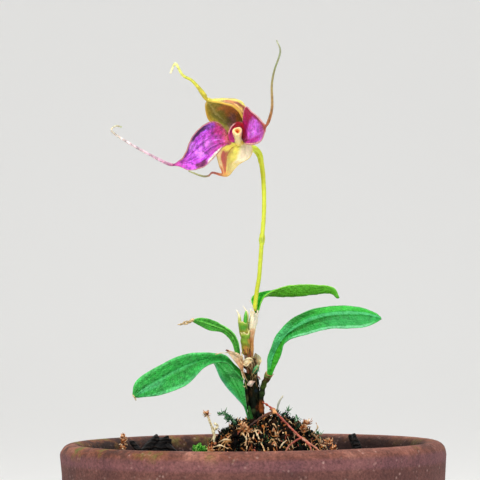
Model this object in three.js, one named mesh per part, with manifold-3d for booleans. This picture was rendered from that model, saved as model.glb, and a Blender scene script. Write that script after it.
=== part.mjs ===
// A small orchid of the genus Brachionidium, grown in a clay pot.
// One flower with four long tails stands on a thin stalk above five leathery leaves, and the plant
// is rooted in a heap of dead moss and fine roots on a bark mix.
// Millimetres, +Z up, with the origin at the centre of the pot's base.

import * as THREE from 'three';
import { mergeVertices } from 'three/addons/utils/BufferGeometryUtils.js';
import Module from 'manifold-3d';

const wasm = await Module();
wasm.setup();

// Driving dimensions of the pot
const POT_HEIGHT = 70;
const RIM_RADIUS = 38;
const RIM_BAND = 17;
const BODY_TOP_RADIUS = 35.2;
const BASE_RADIUS = 26;
const WALL_TOP = 4.8;
const INNER_FLOOR_RADIUS = 22.2;
const FLOOR_THICKNESS = 6;
const DRAIN_RADIUS = 5;
const POT_SEGMENTS = 40;

// Driving dimensions of what fills it
const CLEARANCE = 0.3;
const MIX_LEVEL = 65.2;
const SEAT_DEPTH = 0.4;
const MOUND_CENTRE = [2.5, 0];
const MOUND_RADIUS = 13;
const MOUND_TOP = 74.4;
const MOUND_COVER = 0.9;
const MOUND_STRANDS = 56;
const TUFT_FOOT = [-10.4, -13.4, 66.9];
const TUFT_HEIGHT = 3.3;
const TUFT_SPIKES = 11;

// Driving dimensions of the plant
const LEAF_THICKNESS = 0.7;
const PETAL_THICKNESS = 0.6;
const STALK_RADIUS = 0.42;
const TAIL_HALF_WIDTH = 0.3;

const part = new THREE.Group();

const vec = (p) => new THREE.Vector3(...p);
const mix = (a, b, share) => a + (b - a) * share;
const degrees = (angle) => THREE.MathUtils.degToRad(angle);

// Turning by this angle again and again spreads things evenly round a centre
const GOLDEN_ANGLE = Math.PI * (3 - Math.sqrt(5));

// A repeatable random number from 0 to 1
function seeded(seed) {
  let state = seed;
  return () => {
    state = (state + 0x6d2b79f5) | 0;
    let t = Math.imul(state ^ (state >>> 15), 1 | state);
    t = (t + Math.imul(t ^ (t >>> 7), 61 | t)) ^ t;
    return ((t ^ (t >>> 14)) >>> 0) / 4294967296;
  };
}

function addNode(name, geometry, colour, roughness = 0.6) {
  const material = new THREE.MeshStandardMaterial({ color: colour, roughness, metalness: 0 });
  const mesh = new THREE.Mesh(geometry, material);
  mesh.name = name;
  part.add(mesh);
}

// Solids for joining and cutting

function toSolid(geometry) {
  const bare = geometry.clone();
  bare.deleteAttribute('normal');
  bare.deleteAttribute('uv');
  const merged = mergeVertices(bare, 1e-4);
  const made = new wasm.Manifold(new wasm.Mesh({
    numProp: 3,
    vertProperties: new Float32Array(merged.attributes.position.array),
    triVerts: new Uint32Array(merged.index.array),
  }));
  return made;
}

function toGeometry(solid) {
  const mesh = solid.getMesh();
  const positions = new Float32Array(mesh.numVert * 3);
  for (let i = 0; i < mesh.numVert; i++) {
    positions.set(mesh.vertProperties.subarray(i * mesh.numProp, i * mesh.numProp + 3), i * 3);
  }
  const geometry = new THREE.BufferGeometry();
  geometry.setAttribute('position', new THREE.BufferAttribute(positions, 3));
  geometry.setIndex(new THREE.BufferAttribute(mesh.triVerts, 1));
  geometry.computeVertexNormals();
  return geometry;
}

// The largest body of a joined solid, without any loose scrap
function mainBody(solid) {
  return solid.decompose().sort((a, b) => b.volume() - a.volume())[0];
}

const joined = (geometries) => mainBody(geometries.map(toSolid).reduce((a, b) => a.add(b)));

// Lofts: closed rings of points, joined one after another and capped at both ends

function loft(rings) {
  const count = rings[0].length;
  const positions = rings.flat().flatMap((p) => [p.x, p.y, p.z]);
  const index = [];
  for (let i = 0; i + 1 < rings.length; i++) {
    for (let j = 0; j < count; j++) {
      const next = (j + 1) % count;
      const a = i * count + j;
      const b = i * count + next;
      index.push(a, b, b + count, a, b + count, a + count);
    }
  }
  // Each cap is a ladder between the two halves of its ring
  const last = (rings.length - 1) * count;
  for (let j = 0; j + 1 < count / 2; j++) {
    const near = j;
    const nearNext = j + 1;
    const far = count - 1 - j;
    const farNext = far - 1;
    index.push(near, far, farNext, near, farNext, nearNext);
    index.push(last + near, last + farNext, last + far, last + near, last + nearNext, last + farNext);
  }
  const geometry = new THREE.BufferGeometry();
  geometry.setAttribute('position', new THREE.Float32BufferAttribute(positions, 3));
  geometry.setIndex(index);
  return facingOut(geometry);
}

function facingOut(geometry) {
  const at = geometry.attributes.position;
  const index = geometry.index.array;
  const [a, b, c] = [new THREE.Vector3(), new THREE.Vector3(), new THREE.Vector3()];
  let volume = 0;
  for (let i = 0; i < index.length; i += 3) {
    a.fromBufferAttribute(at, index[i]);
    b.fromBufferAttribute(at, index[i + 1]);
    c.fromBufferAttribute(at, index[i + 2]);
    volume += a.dot(b.cross(c));
  }
  if (volume < 0) {
    for (let i = 0; i < index.length; i += 3) {
      [index[i + 1], index[i + 2]] = [index[i + 2], index[i + 1]];
    }
  }
  geometry.computeVertexNormals();
  return geometry;
}

// The value at a share of the way along evenly spaced keys, joined by straight lines
function keyed(keys, share) {
  const place = share * (keys.length - 1);
  const low = Math.min(Math.floor(place), keys.length - 2);
  return mix(keys[low], keys[low + 1], place - low);
}

const smoothCurve = (points) => new THREE.CatmullRomCurve3(points, false, 'catmullrom', 0.5);

// A stem, root or tail: round sections along a curve, with a radius for each of its points
function stem({ path, radius, steps = 3 * (path.length - 1), sides = 8 }) {
  const curve = smoothCurve(path.map(vec));
  const frames = curve.computeFrenetFrames(steps, false);
  const rings = [];
  for (let i = 0; i <= steps; i++) {
    const share = i / steps;
    const centre = curve.getPointAt(share);
    const size = keyed(radius, share);
    rings.push(Array.from({ length: sides }, (_, j) => {
      const turn = (2 * Math.PI * j) / sides;
      return centre.clone()
        .addScaledVector(frames.normals[i], size * Math.cos(turn))
        .addScaledVector(frames.binormals[i], size * Math.sin(turn));
    }));
  }
  return loft(rings);
}

// The same route with clearance all round it and past both of its ends
function widen({ path, radius, ...rest }) {
  const beyond = (end, next) => vec(end).sub(vec(next)).setLength(CLEARANCE).add(vec(end)).toArray();
  return {
    ...rest,
    path: [beyond(path[0], path[1]), ...path.slice(1, -1), beyond(path.at(-1), path.at(-2))],
    radius: radius.map((r) => r + CLEARANCE),
  };
}

// A petal, leaf or sheath: a sheet of even thickness, given by its left edge, midrib and right edge,
// each a smooth line with the same number of points. A tail goes on from the tip as a narrow strip.
// Across the sheet the section is a parabola, or a sharp keel where crease is 1.
function sheet({
  left, midrib, right, tail = [], thickness, tailHalf, perPoint = 2, across = 4, crease = 0,
}) {
  const lines = [left, midrib, right].map((line) => line.map(vec));
  const side = lines[2].at(-1).clone().sub(lines[0].at(-1)).normalize();
  tail.map(vec).forEach((centre, i) => {
    const before = lines[1].at(-1);
    const after = i + 1 < tail.length ? vec(tail[i + 1]) : centre;
    const along = after.clone().sub(before).normalize();
    side.addScaledVector(along, -side.dot(along)).normalize();
    lines[0].push(centre.clone().addScaledVector(side, -tailHalf));
    lines[1].push(centre);
    lines[2].push(centre.clone().addScaledVector(side, tailHalf));
  });
  const curves = lines.map(smoothCurve);
  const last = lines[1].length - 1;
  const grid = Array.from({ length: perPoint * last + 1 }, (_, i) => {
    const [l, m, r] = curves.map((curve) => curve.getPoint(i / (perPoint * last)));
    const half = r.clone().sub(l).multiplyScalar(0.5);
    const rise = l.clone().add(r).multiplyScalar(0.5).sub(m);
    return Array.from({ length: across + 1 }, (_, j) => {
      const t = -1 + (2 * j) / across;
      const bend = mix(t * t, Math.abs(t), crease);
      return m.clone().addScaledVector(half, t).addScaledVector(rise, bend);
    });
  });
  const at = (i, j) => grid[Math.min(Math.max(i, 0), grid.length - 1)][Math.min(Math.max(j, 0), across)];
  const rings = grid.map((row, i) => {
    const upper = [];
    const lower = [];
    row.forEach((point, j) => {
      const along = at(i + 1, j).clone().sub(at(i - 1, j));
      const over = at(i, j + 1).clone().sub(at(i, j - 1));
      const normal = along.cross(over).normalize();
      upper.push(point.clone().addScaledVector(normal, thickness / 2));
      lower.unshift(point.clone().addScaledVector(normal, -thickness / 2));
    });
    return [...upper, ...lower];
  });
  return loft(rings);
}

// A chip of bark: a block with uneven corners, turned and set at its centre
function chip({ size, at, turn, seed, grow = 0 }) {
  const random = seeded(seed);
  const block = new THREE.BoxGeometry(1, 1, 1);
  const merged = mergeVertices(new THREE.BufferGeometry()
    .setAttribute('position', block.attributes.position)
    .setIndex(block.index), 1e-4);
  const corners = merged.attributes.position;
  for (let i = 0; i < corners.count; i++) {
    const uneven = () => 0.78 + 0.34 * random();
    corners.setXYZ(
      i,
      corners.getX(i) * (size[0] * uneven() + 2 * grow),
      corners.getY(i) * (size[1] * uneven() + 2 * grow),
      corners.getZ(i) * (size[2] * uneven() + 2 * grow),
    );
  }
  const place = new THREE.Matrix4().makeRotationFromEuler(new THREE.Euler(...turn.map(degrees)));
  place.setPosition(...at);
  return merged.applyMatrix4(place);
}

// Clay pot: a turned profile that closes on itself round the drain hole

function roundedCorner(x, y, radius, from, to, steps) {
  return Array.from({ length: steps + 1 }, (_, i) => {
    const angle = degrees(mix(from, to, i / steps));
    return [x + radius * Math.cos(angle), y + radius * Math.sin(angle)];
  });
}

const RIM_FLOOR = POT_HEIGHT - RIM_BAND;
const RIM_TOP_INNER = RIM_RADIUS - WALL_TOP;
const LIP_RADIUS = WALL_TOP / 2;
const potProfile = [
  [DRAIN_RADIUS, 0],
  [BASE_RADIUS - 1, 0],
  [BASE_RADIUS, 1],
  [BODY_TOP_RADIUS, RIM_FLOOR - 0.6],
  ...roundedCorner(RIM_RADIUS - 1.6, RIM_FLOOR + 1, 1, -90, 0, 2),
  ...roundedCorner(RIM_RADIUS - LIP_RADIUS, POT_HEIGHT - LIP_RADIUS, LIP_RADIUS, 0, 180, 8),
  [INNER_FLOOR_RADIUS, FLOOR_THICKNESS],
  [DRAIN_RADIUS, FLOOR_THICKNESS],
];
const closedProfile = [...potProfile, potProfile[0]].map(([r, z]) => new THREE.Vector2(r, z));
const potShape = new THREE.LatheGeometry(closedProfile, POT_SEGMENTS);
potShape.rotateX(Math.PI / 2);
addNode('clay_pot', potShape, 0x8f5a4c, 0.9);

// Radius of the pot's inner wall at a height
function innerRadius(z) {
  const share = (z - FLOOR_THICKNESS) / (POT_HEIGHT - LIP_RADIUS - FLOOR_THICKNESS);
  return mix(INNER_FLOOR_RADIUS, RIM_TOP_INNER, share);
}

// Routes of the stems, roots and mosses that stand in or on the moss mound

const mainStem = {
  path: [
    [0.5, 0.6, 67.3], [0.3, 0.5, 72], [0.2, 0.4, 77], [0.1, 0.3, 81], [-0.2, 0.2, 84.5],
    [-0.4, 0.2, 86.6],
  ],
  radius: [1.1, 1.1, 1.15, 1.2, 1.1, 1],
};
const sideStem = {
  path: [
    [2.3, -0.4, 67.3], [2.1, -0.5, 72.5], [1.9, -0.6, 77], [2, -0.9, 79.8], [2.6, -1.2, 81.6],
    [3.8, -1.4, 83.2],
  ],
  radius: [0.7, 0.7, 0.75, 0.7, 0.8, 1.05],
};
const creepingStem = {
  path: [[-2, 0.9, 67.8], [0.5, 0.5, 68], [2.3, -0.3, 68], [4.6, -0.8, 67.8]],
  radius: [0.8, 0.95, 0.95, 0.7],
};
const lowPetiole = {
  path: [[0.3, -2.4, 67.6], [0, -2.3, 71], [-0.4, -2.1, 73.6], [-0.7, -1.9, 75.6]],
  radius: [0.5, 0.5, 0.5, 0.42],
};
const redRoots = [
  {
    path: [
      [2.5, -1.9, 77.6], [3.9, -2.7, 76.5], [5.1, -4.2, 75.3], [8.3, -8.6, 72.1], [9.9, -10.3, 70.8],
      [12.4, -12.4, 69.1], [13, -13.2, 68.1],
    ],
    radius: [0.34, 0.42, 0.42, 0.38, 0.42, 0.36, 0.3],
    steps: 14,
    sides: 6,
  },
  {
    path: [[9.4, -10, 71.2], [7.7, -11.2, 70], [6.2, -12.6, 68.7]],
    radius: [0.34, 0.34, 0.3],
    steps: 5,
    sides: 6,
  },
  {
    path: [[10.2, -10.8, 70.4], [11.4, -12.4, 69.4], [12.1, -13.8, 67.9]],
    radius: [0.34, 0.34, 0.3],
    steps: 5,
    sides: 6,
  },
];
const greyRoot = {
  path: [[5.1, 0.5, 72.4], [5.3, 0.4, 74.4], [5.5, 0.4, 76], [5.8, 0.2, 77.6], [6.6, 0, 79.3]],
  radius: [0.36, 0.36, 0.34, 0.34, 0.3],
  steps: 8,
  sides: 6,
};
const yellowSprout = [
  {
    path: [
      [-6.8, -5.6, 70.4], [-7.3, -5.8, 72.4], [-7.6, -5.9, 73.8], [-8.2, -5.9, 75.3], [-8.3, -5.8, 76],
      [-8.9, -5.6, 75.6],
    ],
    radius: [0.4, 0.4, 0.45, 0.5, 0.4, 0.3],
    steps: 12,
    sides: 6,
  },
  {
    path: [[-7.5, -5.8, 73], [-6.9, -6.1, 73.2], [-6.4, -6.3, 73.6]],
    radius: [0.35, 0.5, 0.3],
    steps: 4,
    sides: 5,
  },
];
const mossSprig = [
  {
    path: [
      [-3, -3.4, 73.1], [-3.9, -3.8, 74.3], [-4.8, -4.2, 75.3], [-5.8, -4.5, 75.8], [-6.6, -4.7, 75.8],
    ],
    radius: [0.32, 0.34, 0.45, 0.4, 0.3],
    steps: 9,
    sides: 5,
  },
  { path: [[-4.6, -4.1, 75.1], [-4.8, -4.4, 74.3]], radius: [0.34, 0.3], steps: 2, sides: 5 },
  { path: [[-5.1, -4.3, 75.5], [-5.3, -4.7, 74.8]], radius: [0.34, 0.3], steps: 2, sides: 5 },
];

// Moss and fine roots, heaped round the stems: a dense core with arching strands over it

function moundHeight(r) {
  const rise = Math.max(0, 1 - (r / MOUND_RADIUS) ** 2);
  return MIX_LEVEL + (MOUND_TOP - MIX_LEVEL) * rise ** 0.7;
}

function mossMound() {
  const random = seeded(7);
  const floor = MIX_LEVEL - SEAT_DEPTH + CLEARANCE;
  // The core lies deeper than the tops of the strands by the depth of the cover
  const core = new THREE.LatheGeometry([
    new THREE.Vector2(0, floor),
    new THREE.Vector2(MOUND_RADIUS - 0.3, floor),
    ...[0.95, 0.86, 0.72, 0.54, 0.3].map((share) => new THREE.Vector2(
      share * MOUND_RADIUS,
      moundHeight(share * MOUND_RADIUS) - MOUND_COVER,
    )),
    new THREE.Vector2(0, MOUND_TOP - MOUND_COVER),
  ], 20);
  core.rotateX(Math.PI / 2).translate(MOUND_CENTRE[0], MOUND_CENTRE[1], 0);
  const strands = [];
  for (let i = 0; i < MOUND_STRANDS; i++) {
    const reach = 0.95 * MOUND_RADIUS * Math.sqrt((i + 0.5) / MOUND_STRANDS);
    const angle = GOLDEN_ANGLE * i;
    const bearing = angle + 2.6 * (random() - 0.5);
    const run = 1.5 + 1.7 * random();
    const lift = 0.9 + 1.3 * random();
    const x = MOUND_CENTRE[0] + reach * Math.cos(angle);
    const y = MOUND_CENTRE[1] + reach * Math.sin(angle);
    const z = Math.max(moundHeight(reach) - MOUND_COVER, floor + 1.3);
    const step = (share, up) => [
      x + share * run * Math.cos(bearing),
      y + share * run * Math.sin(bearing),
      z + up,
    ];
    const droop = Math.max(floor + 0.8 - z, 0.55 * lift - 0.8 * run * random());
    strands.push(stem({
      path: [step(0, -0.7), step(0.35, lift), step(1, 1.1 * lift), step(1.6, droop)],
      radius: [0.46, 0.4, 0.36, 0.3],
      steps: 4,
      sides: 3,
    }));
  }
  // Strands that reach past the seat are cut off at its edge
  const reachLimit = new THREE.CylinderGeometry(MOUND_RADIUS, MOUND_RADIUS, 4 * (MOUND_TOP - floor), 36);
  reachLimit.rotateX(Math.PI / 2).translate(MOUND_CENTRE[0], MOUND_CENTRE[1], MOUND_TOP);
  let solid = [core, ...strands].map(toSolid).reduce((a, b) => a.add(b)).intersect(toSolid(reachLimit));
  const stems = [mainStem, sideStem, creepingStem, lowPetiole];
  for (const route of [...stems, greyRoot, ...redRoots, ...yellowSprout, ...mossSprig]) {
    solid = solid.subtract(toSolid(stem(widen(route))));
  }
  return mainBody(solid);
}
addNode('moss_mound', toGeometry(mossMound()), 0x6b4a2f, 0.95);

// Bark mix that fills the pot, with coarse chips in relief and a plain pocket for each piece
// that is bedded in it

const looseChips = {
  bark_chip_left_large: { size: [6.6, 3.4, 6.2], at: [-17.9, 2.2, 67.7], turn: [8, 32, 12], seed: 5 },
  bark_chip_left_thin: { size: [1.8, 2.6, 6.4], at: [-23.6, -2.4, 68.3], turn: [0, -38, 10], seed: 11 },
  bark_chip_left_leg: { size: [1.7, 2.2, 5.2], at: [-14.2, -2.2, 67.7], turn: [6, -46, 0], seed: 17 },
  bark_chip_right: { size: [2.0, 2.8, 8.4], at: [20.9, 8, 67.6], turn: [-8, -17, 14], seed: 23 },
  bark_chip_front: { size: [7.6, 4.6, 2.6], at: [7, -24, 66.3], turn: [6, -8, 25], seed: 31 },
  bark_chip_back: { size: [8.2, 4.2, 3.0], at: [-8, 23, 66.5], turn: [-9, 7, -35], seed: 37 },
};

function barkMix() {
  const random = seeded(71);
  const top = innerRadius(MIX_LEVEL) - CLEARANCE - 0.2;
  const bottom = INNER_FLOOR_RADIUS - CLEARANCE;
  const low = FLOOR_THICKNESS + CLEARANCE;
  const body = new THREE.LatheGeometry([
    new THREE.Vector2(0, low),
    new THREE.Vector2(bottom, low),
    new THREE.Vector2(top, MIX_LEVEL),
    new THREE.Vector2(0, MIX_LEVEL),
  ], POT_SEGMENTS);
  body.rotateX(Math.PI / 2);
  const pieces = [body];
  const rings = [
    { count: 20, radius: 28.4 },
    { count: 16, radius: 23.2 },
    { count: 11, radius: 18.4 },
  ];
  rings.forEach(({ count, radius }, k) => {
    for (let i = 0; i < count; i++) {
      const angle = (2 * Math.PI * (i + 0.5 * k + 0.5 * random())) / count;
      const reach = radius + 1.6 * (random() - 0.5);
      const size = [3.4 + 2.6 * random(), 2.2 + 1.4 * random(), 1.4 + 0.9 * random()];
      const at = [reach * Math.cos(angle), reach * Math.sin(angle), MIX_LEVEL + 0.15];
      const turn = [24 * (random() - 0.5), 24 * (random() - 0.5), 360 * random()];
      pieces.push(chip({ size, at, turn, seed: 100 + 40 * k + i }));
    }
  });
  let solid = pieces.map(toSolid).reduce((a, b) => a.add(b));
  const seatRadius = MOUND_RADIUS + CLEARANCE;
  const seat = new THREE.CylinderGeometry(seatRadius, seatRadius, 6, 36);
  seat.rotateX(Math.PI / 2).translate(MOUND_CENTRE[0], MOUND_CENTRE[1], MIX_LEVEL - SEAT_DEPTH + 3);
  solid = solid.subtract(toSolid(seat));
  for (const shape of Object.values(looseChips)) {
    solid = solid.subtract(toSolid(chip({ ...shape, grow: CLEARANCE })));
  }
  return mainBody(solid);
}
addNode('bark_mix', toGeometry(barkMix()), 0x2c211b, 0.95);
for (const [name, shape] of Object.entries(looseChips)) {
  addNode(name, toGeometry(toSolid(chip(shape))), 0x15131a, 0.9);
}

// Rhizome: the woody stem with its side stem and the short joints that carry the leaves

const leafJoints = [
  { path: [[-0.1, 0.1, 82.4], [-1, -0.7, 83], [-1.8, -1.3, 83.3]], radius: [0.7, 0.6, 0.5], steps: 4 },
  { path: [[-0.2, 0.1, 84.4], [-1.6, 0, 85.3], [-2.5, -0.3, 85.8]], radius: [0.8, 0.65, 0.5], steps: 4 },
];
addNode('rhizome', toGeometry(joined([
  stem(mainStem),
  stem(sideStem),
  stem(creepingStem),
  ...leafJoints.map(stem),
])), 0x2e2a1e, 0.85);

// Leaves: each narrows to a petiole at its foot, and the lowest one's petiole comes out of the mound

const leaves = {
  leaf_left_broad: {
    left: [
      [-2.8, -1.6, 83.9], [-5.5, -3.1, 87.1], [-9.4, -4.6, 87.7], [-13.9, -6.5, 87.3],
      [-18.1, -8.2, 85.4], [-21.7, -9.6, 82.9], [-22.9, -10.3, 79.8],
    ],
    midrib: [
      [-2.4, -1.4, 83.5], [-5.5, -2.6, 86.4], [-9.5, -4.3, 86.4], [-13.9, -6.7, 84.8],
      [-18.1, -8.7, 82.7], [-21.4, -10, 80.9], [-22.8, -10.4, 79.5],
    ],
    right: [
      [-2, -1.7, 83.3], [-5.1, -3.3, 85.7], [-9, -4.8, 84.5], [-13.2, -7.5, 81.4], [-17.7, -9.4, 80],
      [-21.2, -10.4, 79.8], [-22.5, -10.5, 79.3],
    ],
  },
  leaf_left_low: {
    petiole: lowPetiole,
    left: [
      [-1, -2, 74.8], [-2, -2.2, 78.2], [-4.1, -1.2, 80.4], [-6, 0.8, 82.6], [-7.5, 3.1, 85.2],
      [-8.3, 4.5, 86.5],
    ],
    midrib: [
      [-0.6, -1.9, 74.9], [-1.6, -2, 78.5], [-3.1, -0.6, 81.3], [-4.7, 1.4, 83.5], [-6.6, 3.5, 85.4],
      [-8.1, 4.6, 86.5],
    ],
    right: [
      [-0.2, -2, 75], [-1.3, -2.3, 78.8], [-2.1, -1.4, 81.8], [-3.2, 0.6, 83.8], [-5.6, 2.9, 85.4],
      [-7.9, 4.5, 86.6],
    ],
  },
  leaf_left_upper: {
    left: [
      [-3.2, -0.4, 86.5], [-4.2, -1.6, 89.6], [-5.8, -2.7, 91.5], [-8.4, -4.1, 92.1],
      [-10.5, -5.5, 93.2], [-11.6, -6.1, 93.8],
    ],
    midrib: [
      [-2.8, -0.4, 86.6], [-3.7, -1.2, 89.8], [-4.9, -2.3, 91.9], [-7.7, -3.8, 93.1],
      [-10.1, -5.3, 93.9], [-11.5, -6.1, 94.1],
    ],
    right: [
      [-2.4, -0.4, 86.6], [-3.1, -1.6, 89.7], [-4.2, -2.7, 91.8], [-7.1, -4.1, 93.7], [-9.7, -5.5, 94.5],
      [-11.4, -6.1, 94.3],
    ],
    tail: [[-12.4, -6.2, 93.8], [-13, -6.2, 93.6], [-13.9, -6.3, 93.4], [-14.4, -6.4, 93.3]],
  },
  leaf_right_large: {
    left: [
      [3.4, -1.7, 83.8], [3.5, -2.8, 87.2], [4.9, -3.8, 91.1], [7.8, -4.4, 94.2], [11.9, -5.1, 96],
      [16.5, -6, 96.7], [20.8, -7, 96.4], [23.7, -7.9, 95.4], [25, -8.2, 94.5],
    ],
    midrib: [
      [4, -1.4, 83.6], [4.5, -2, 87], [6.2, -3, 90.7], [9.3, -4.4, 93.1], [12.9, -5.5, 94.8],
      [17, -6.4, 95.4], [21.2, -7.3, 95.3], [24, -8, 94.6], [25.1, -8.3, 94.2],
    ],
    right: [
      [4.5, -1.7, 83.8], [5.4, -2.9, 86.9], [7.4, -4, 90.1], [10.9, -5.2, 91.2], [15, -6.4, 92.2],
      [18.8, -7.4, 92.3], [22.2, -8.1, 92.6], [24.3, -8.4, 93.5], [25, -8.4, 94],
    ],
  },
  leaf_right_top: {
    left: [
      [0.6, 0.8, 96.4], [-0.1, 1, 98], [1.2, 1.8, 99.2], [4.4, 2.4, 99.8], [8.7, 2, 100.4],
      [13, 1.1, 100.4], [15.8, 0, 99.8], [17, -1.4, 98.3],
    ],
    midrib: [
      [1, 1.1, 96.2], [1.2, 1.8, 97.8], [2.4, 1.9, 98.5], [5.2, 1.3, 98.5], [9.2, 0.5, 98.5],
      [13.2, -0.2, 99], [15.7, -0.9, 99], [17, -1.5, 98.1],
    ],
    right: [
      [1.5, 0.7, 96.3], [2.1, 0.5, 97.8], [3.4, 0.1, 99], [5.8, -0.6, 100.3], [9.2, -1.3, 100.8],
      [13.3, -1.7, 100.7], [16.1, -1.7, 100.1], [17.2, -1.6, 98.2],
    ],
  },
};
for (const [name, { petiole, ...shape }] of Object.entries(leaves)) {
  const blade = sheet({ ...shape, thickness: LEAF_THICKNESS, tailHalf: TAIL_HALF_WIDTH, crease: 0.4 });
  const leaf = petiole ? toGeometry(joined([blade, stem(petiole)])) : blade;
  addNode(name, leaf, name === 'leaf_right_top' ? 0x5fae2e : 0x2fa23c, 0.45);
}

// Papery sheath round the flowering stem, and the green shoot beside it

const paperyTube = joined([
  stem({
    path: [[-0.1, 0.2, 86.95], [-0.1, 0.1, 89.6], [0, -0.1, 91.7], [0.25, -0.2, 93.8], [0.55, -0.2, 96]],
    radius: [0.55, 0.65, 0.75, 0.85, 0.85],
    steps: 8,
    sides: 10,
  }),
  stem({
    path: [[0.2, -0.85, 95.2], [0, -0.95, 96.6], [-0.5, -0.9, 97.8]],
    radius: [0.35, 0.4, 0.26],
    steps: 4,
    sides: 5,
  }),
]);
const stalkRoom = stem({
  path: [[0.5, -0.2, 95.3], [0.75, -0.16, 98.2]],
  radius: [STALK_RADIUS + CLEARANCE, STALK_RADIUS + CLEARANCE],
  steps: 1,
});
const papery = mainBody(paperyTube.subtract(toSolid(stalkRoom)));
addNode('papery_sheath', toGeometry(papery), 0xd9c9a3, 0.8);

addNode('green_shoot', toGeometry(joined([
  stem({
    path: [[-1.1, -0.6, 87], [-1.6, -1.1, 89], [-1.7, -1.4, 91.5], [-1.8, -1.5, 93.2], [-1.7, -1.5, 94.2]],
    radius: [0.35, 0.62, 0.8, 0.84, 0.76],
    steps: 8,
  }),
  stem({
    path: [[-2.25, -1.5, 93.6], [-2.45, -1.5, 95.0], [-3.1, -1.4, 96.0]],
    radius: [0.4, 0.36, 0.3],
    steps: 4,
    sides: 5,
  }),
  stem({
    path: [[-1.2, -1.5, 93.6], [-1.15, -1.5, 95.5], [-1.75, -1.3, 96.6]],
    radius: [0.45, 0.4, 0.3],
    steps: 5,
    sides: 5,
  }),
  stem({
    path: [[-1.7, -1.7, 93.6], [-1.5, -1.75, 94.8], [-1.2, -1.7, 95.6]],
    radius: [0.55, 0.55, 0.35],
    steps: 4,
    sides: 6,
  }),
])), 0x7fb83a, 0.55);

// Dry scraps of old sheath round the stem, and a small green bud among them

const drySheaths = {
  dry_sheath_left: {
    left: [[-1.9, -3.2, 83], [-2.7, -3.5, 84.9], [-3.9, -4.1, 86.2], [-5, -4.6, 87.9]],
    midrib: [[-1.7, -3.2, 83.1], [-2.4, -3.4, 85.1], [-3.5, -3.9, 86.7], [-4.9, -4.5, 88]],
    right: [[-1.5, -3.2, 83.2], [-2.1, -3.5, 85.5], [-2.9, -4, 87], [-4.7, -4.5, 88.1]],
  },
  dry_sheath_front: {
    left: [[-1.3, -2, 82.3], [-1.9, -2.2, 83.8], [-2, -2.1, 85.6], [-2.1, -2.2, 87.6]],
    midrib: [[-1.1, -2.1, 82.3], [-1.6, -2.4, 83.9], [-1.7, -2.3, 85.7], [-1.9, -2.2, 87.7]],
    right: [[-0.9, -2, 82.3], [-1.2, -2.2, 84], [-1.2, -2.1, 85.9], [-1.6, -2.2, 87.7]],
  },
  dry_sheath_ring: {
    left: [[-1.4, -3.4, 85], [-0.9, -3.2, 86], [-0.2, -2.7, 86.5], [0.6, -2, 86.2]],
    midrib: [[-1.3, -3.4, 84.7], [-0.8, -3.3, 85.6], [0, -2.8, 86], [0.8, -2, 86]],
    right: [[-1.2, -3.4, 84.4], [-0.7, -3.2, 85.1], [0.3, -2.7, 85.5], [1, -2, 85.8]],
  },
  dry_sheath_low: {
    left: [[-1, -1.7, 81.5], [-0.4, -1.9, 82], [0.2, -2.1, 82.3]],
    midrib: [[-0.6, -1.7, 81.2], [-0.1, -2, 81.7], [0.6, -2.2, 82]],
    right: [[-0.2, -1.7, 80.9], [0.4, -1.9, 81.3], [0.9, -2.1, 81.6]],
  },
  dry_sheath_back: {
    left: [[0.2, 1.9, 85.1], [0.2, 2.1, 86.3], [0.5, 2.3, 87.3]],
    midrib: [[0.9, 2, 85], [1, 2.2, 86.1], [1.1, 2.4, 87.1]],
    right: [[1.4, 1.9, 84.9], [1.7, 2.1, 85.8], [1.8, 2.3, 86.5]],
  },
};
for (const [name, shape] of Object.entries(drySheaths)) {
  addNode(name, sheet({ ...shape, thickness: PETAL_THICKNESS }), 0xc7a074, 0.85);
}
addNode('green_bud', stem({
  path: [[0, -1.6, 83.4], [0.6, -1.75, 84.2], [1.1, -1.8, 85]],
  radius: [0.35, 0.5, 0.3],
  steps: 4,
  sides: 6,
}), 0x4f9a34, 0.6);

// Flower stalk with its joint, and the ovary that it ends in

addNode('flower_stalk', stem({
  path: [
    [0.52, -0.2, 95.7], [0.94, -0.1, 99.2], [1.46, 0.1, 102.2], [1.74, 0.6, 105.3], [2.1, 1.2, 109.6],
    [2.52, 2.0, 114.5], [2.6, 2.8, 118.5], [2.44, 3.6, 122.4], [2.2, 4.0, 124.3],
  ],
  radius: [1, 1, 1, 1, 1.2, 1, 1, 1.1, 1.2].map((share) => share * STALK_RADIUS),
  steps: 20,
}), 0xb9d64a, 0.5);
addNode('ovary', stem({
  path: [
    [2.12, 4.05, 124.8], [1.85, 4.2, 126.2], [1.0, 3.2, 127.6], [-0.2, 1.4, 128.3], [-1.35, -0.4, 128.6],
  ],
  radius: [0.55, 0.68, 0.72, 0.75, 0.85],
  steps: 12,
}), 0xa9c83c, 0.5);

// Flower: an upper and a lower sepal, two petals and a lip, round a short column. The sepals and
// petals are drawn out into tails.

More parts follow.
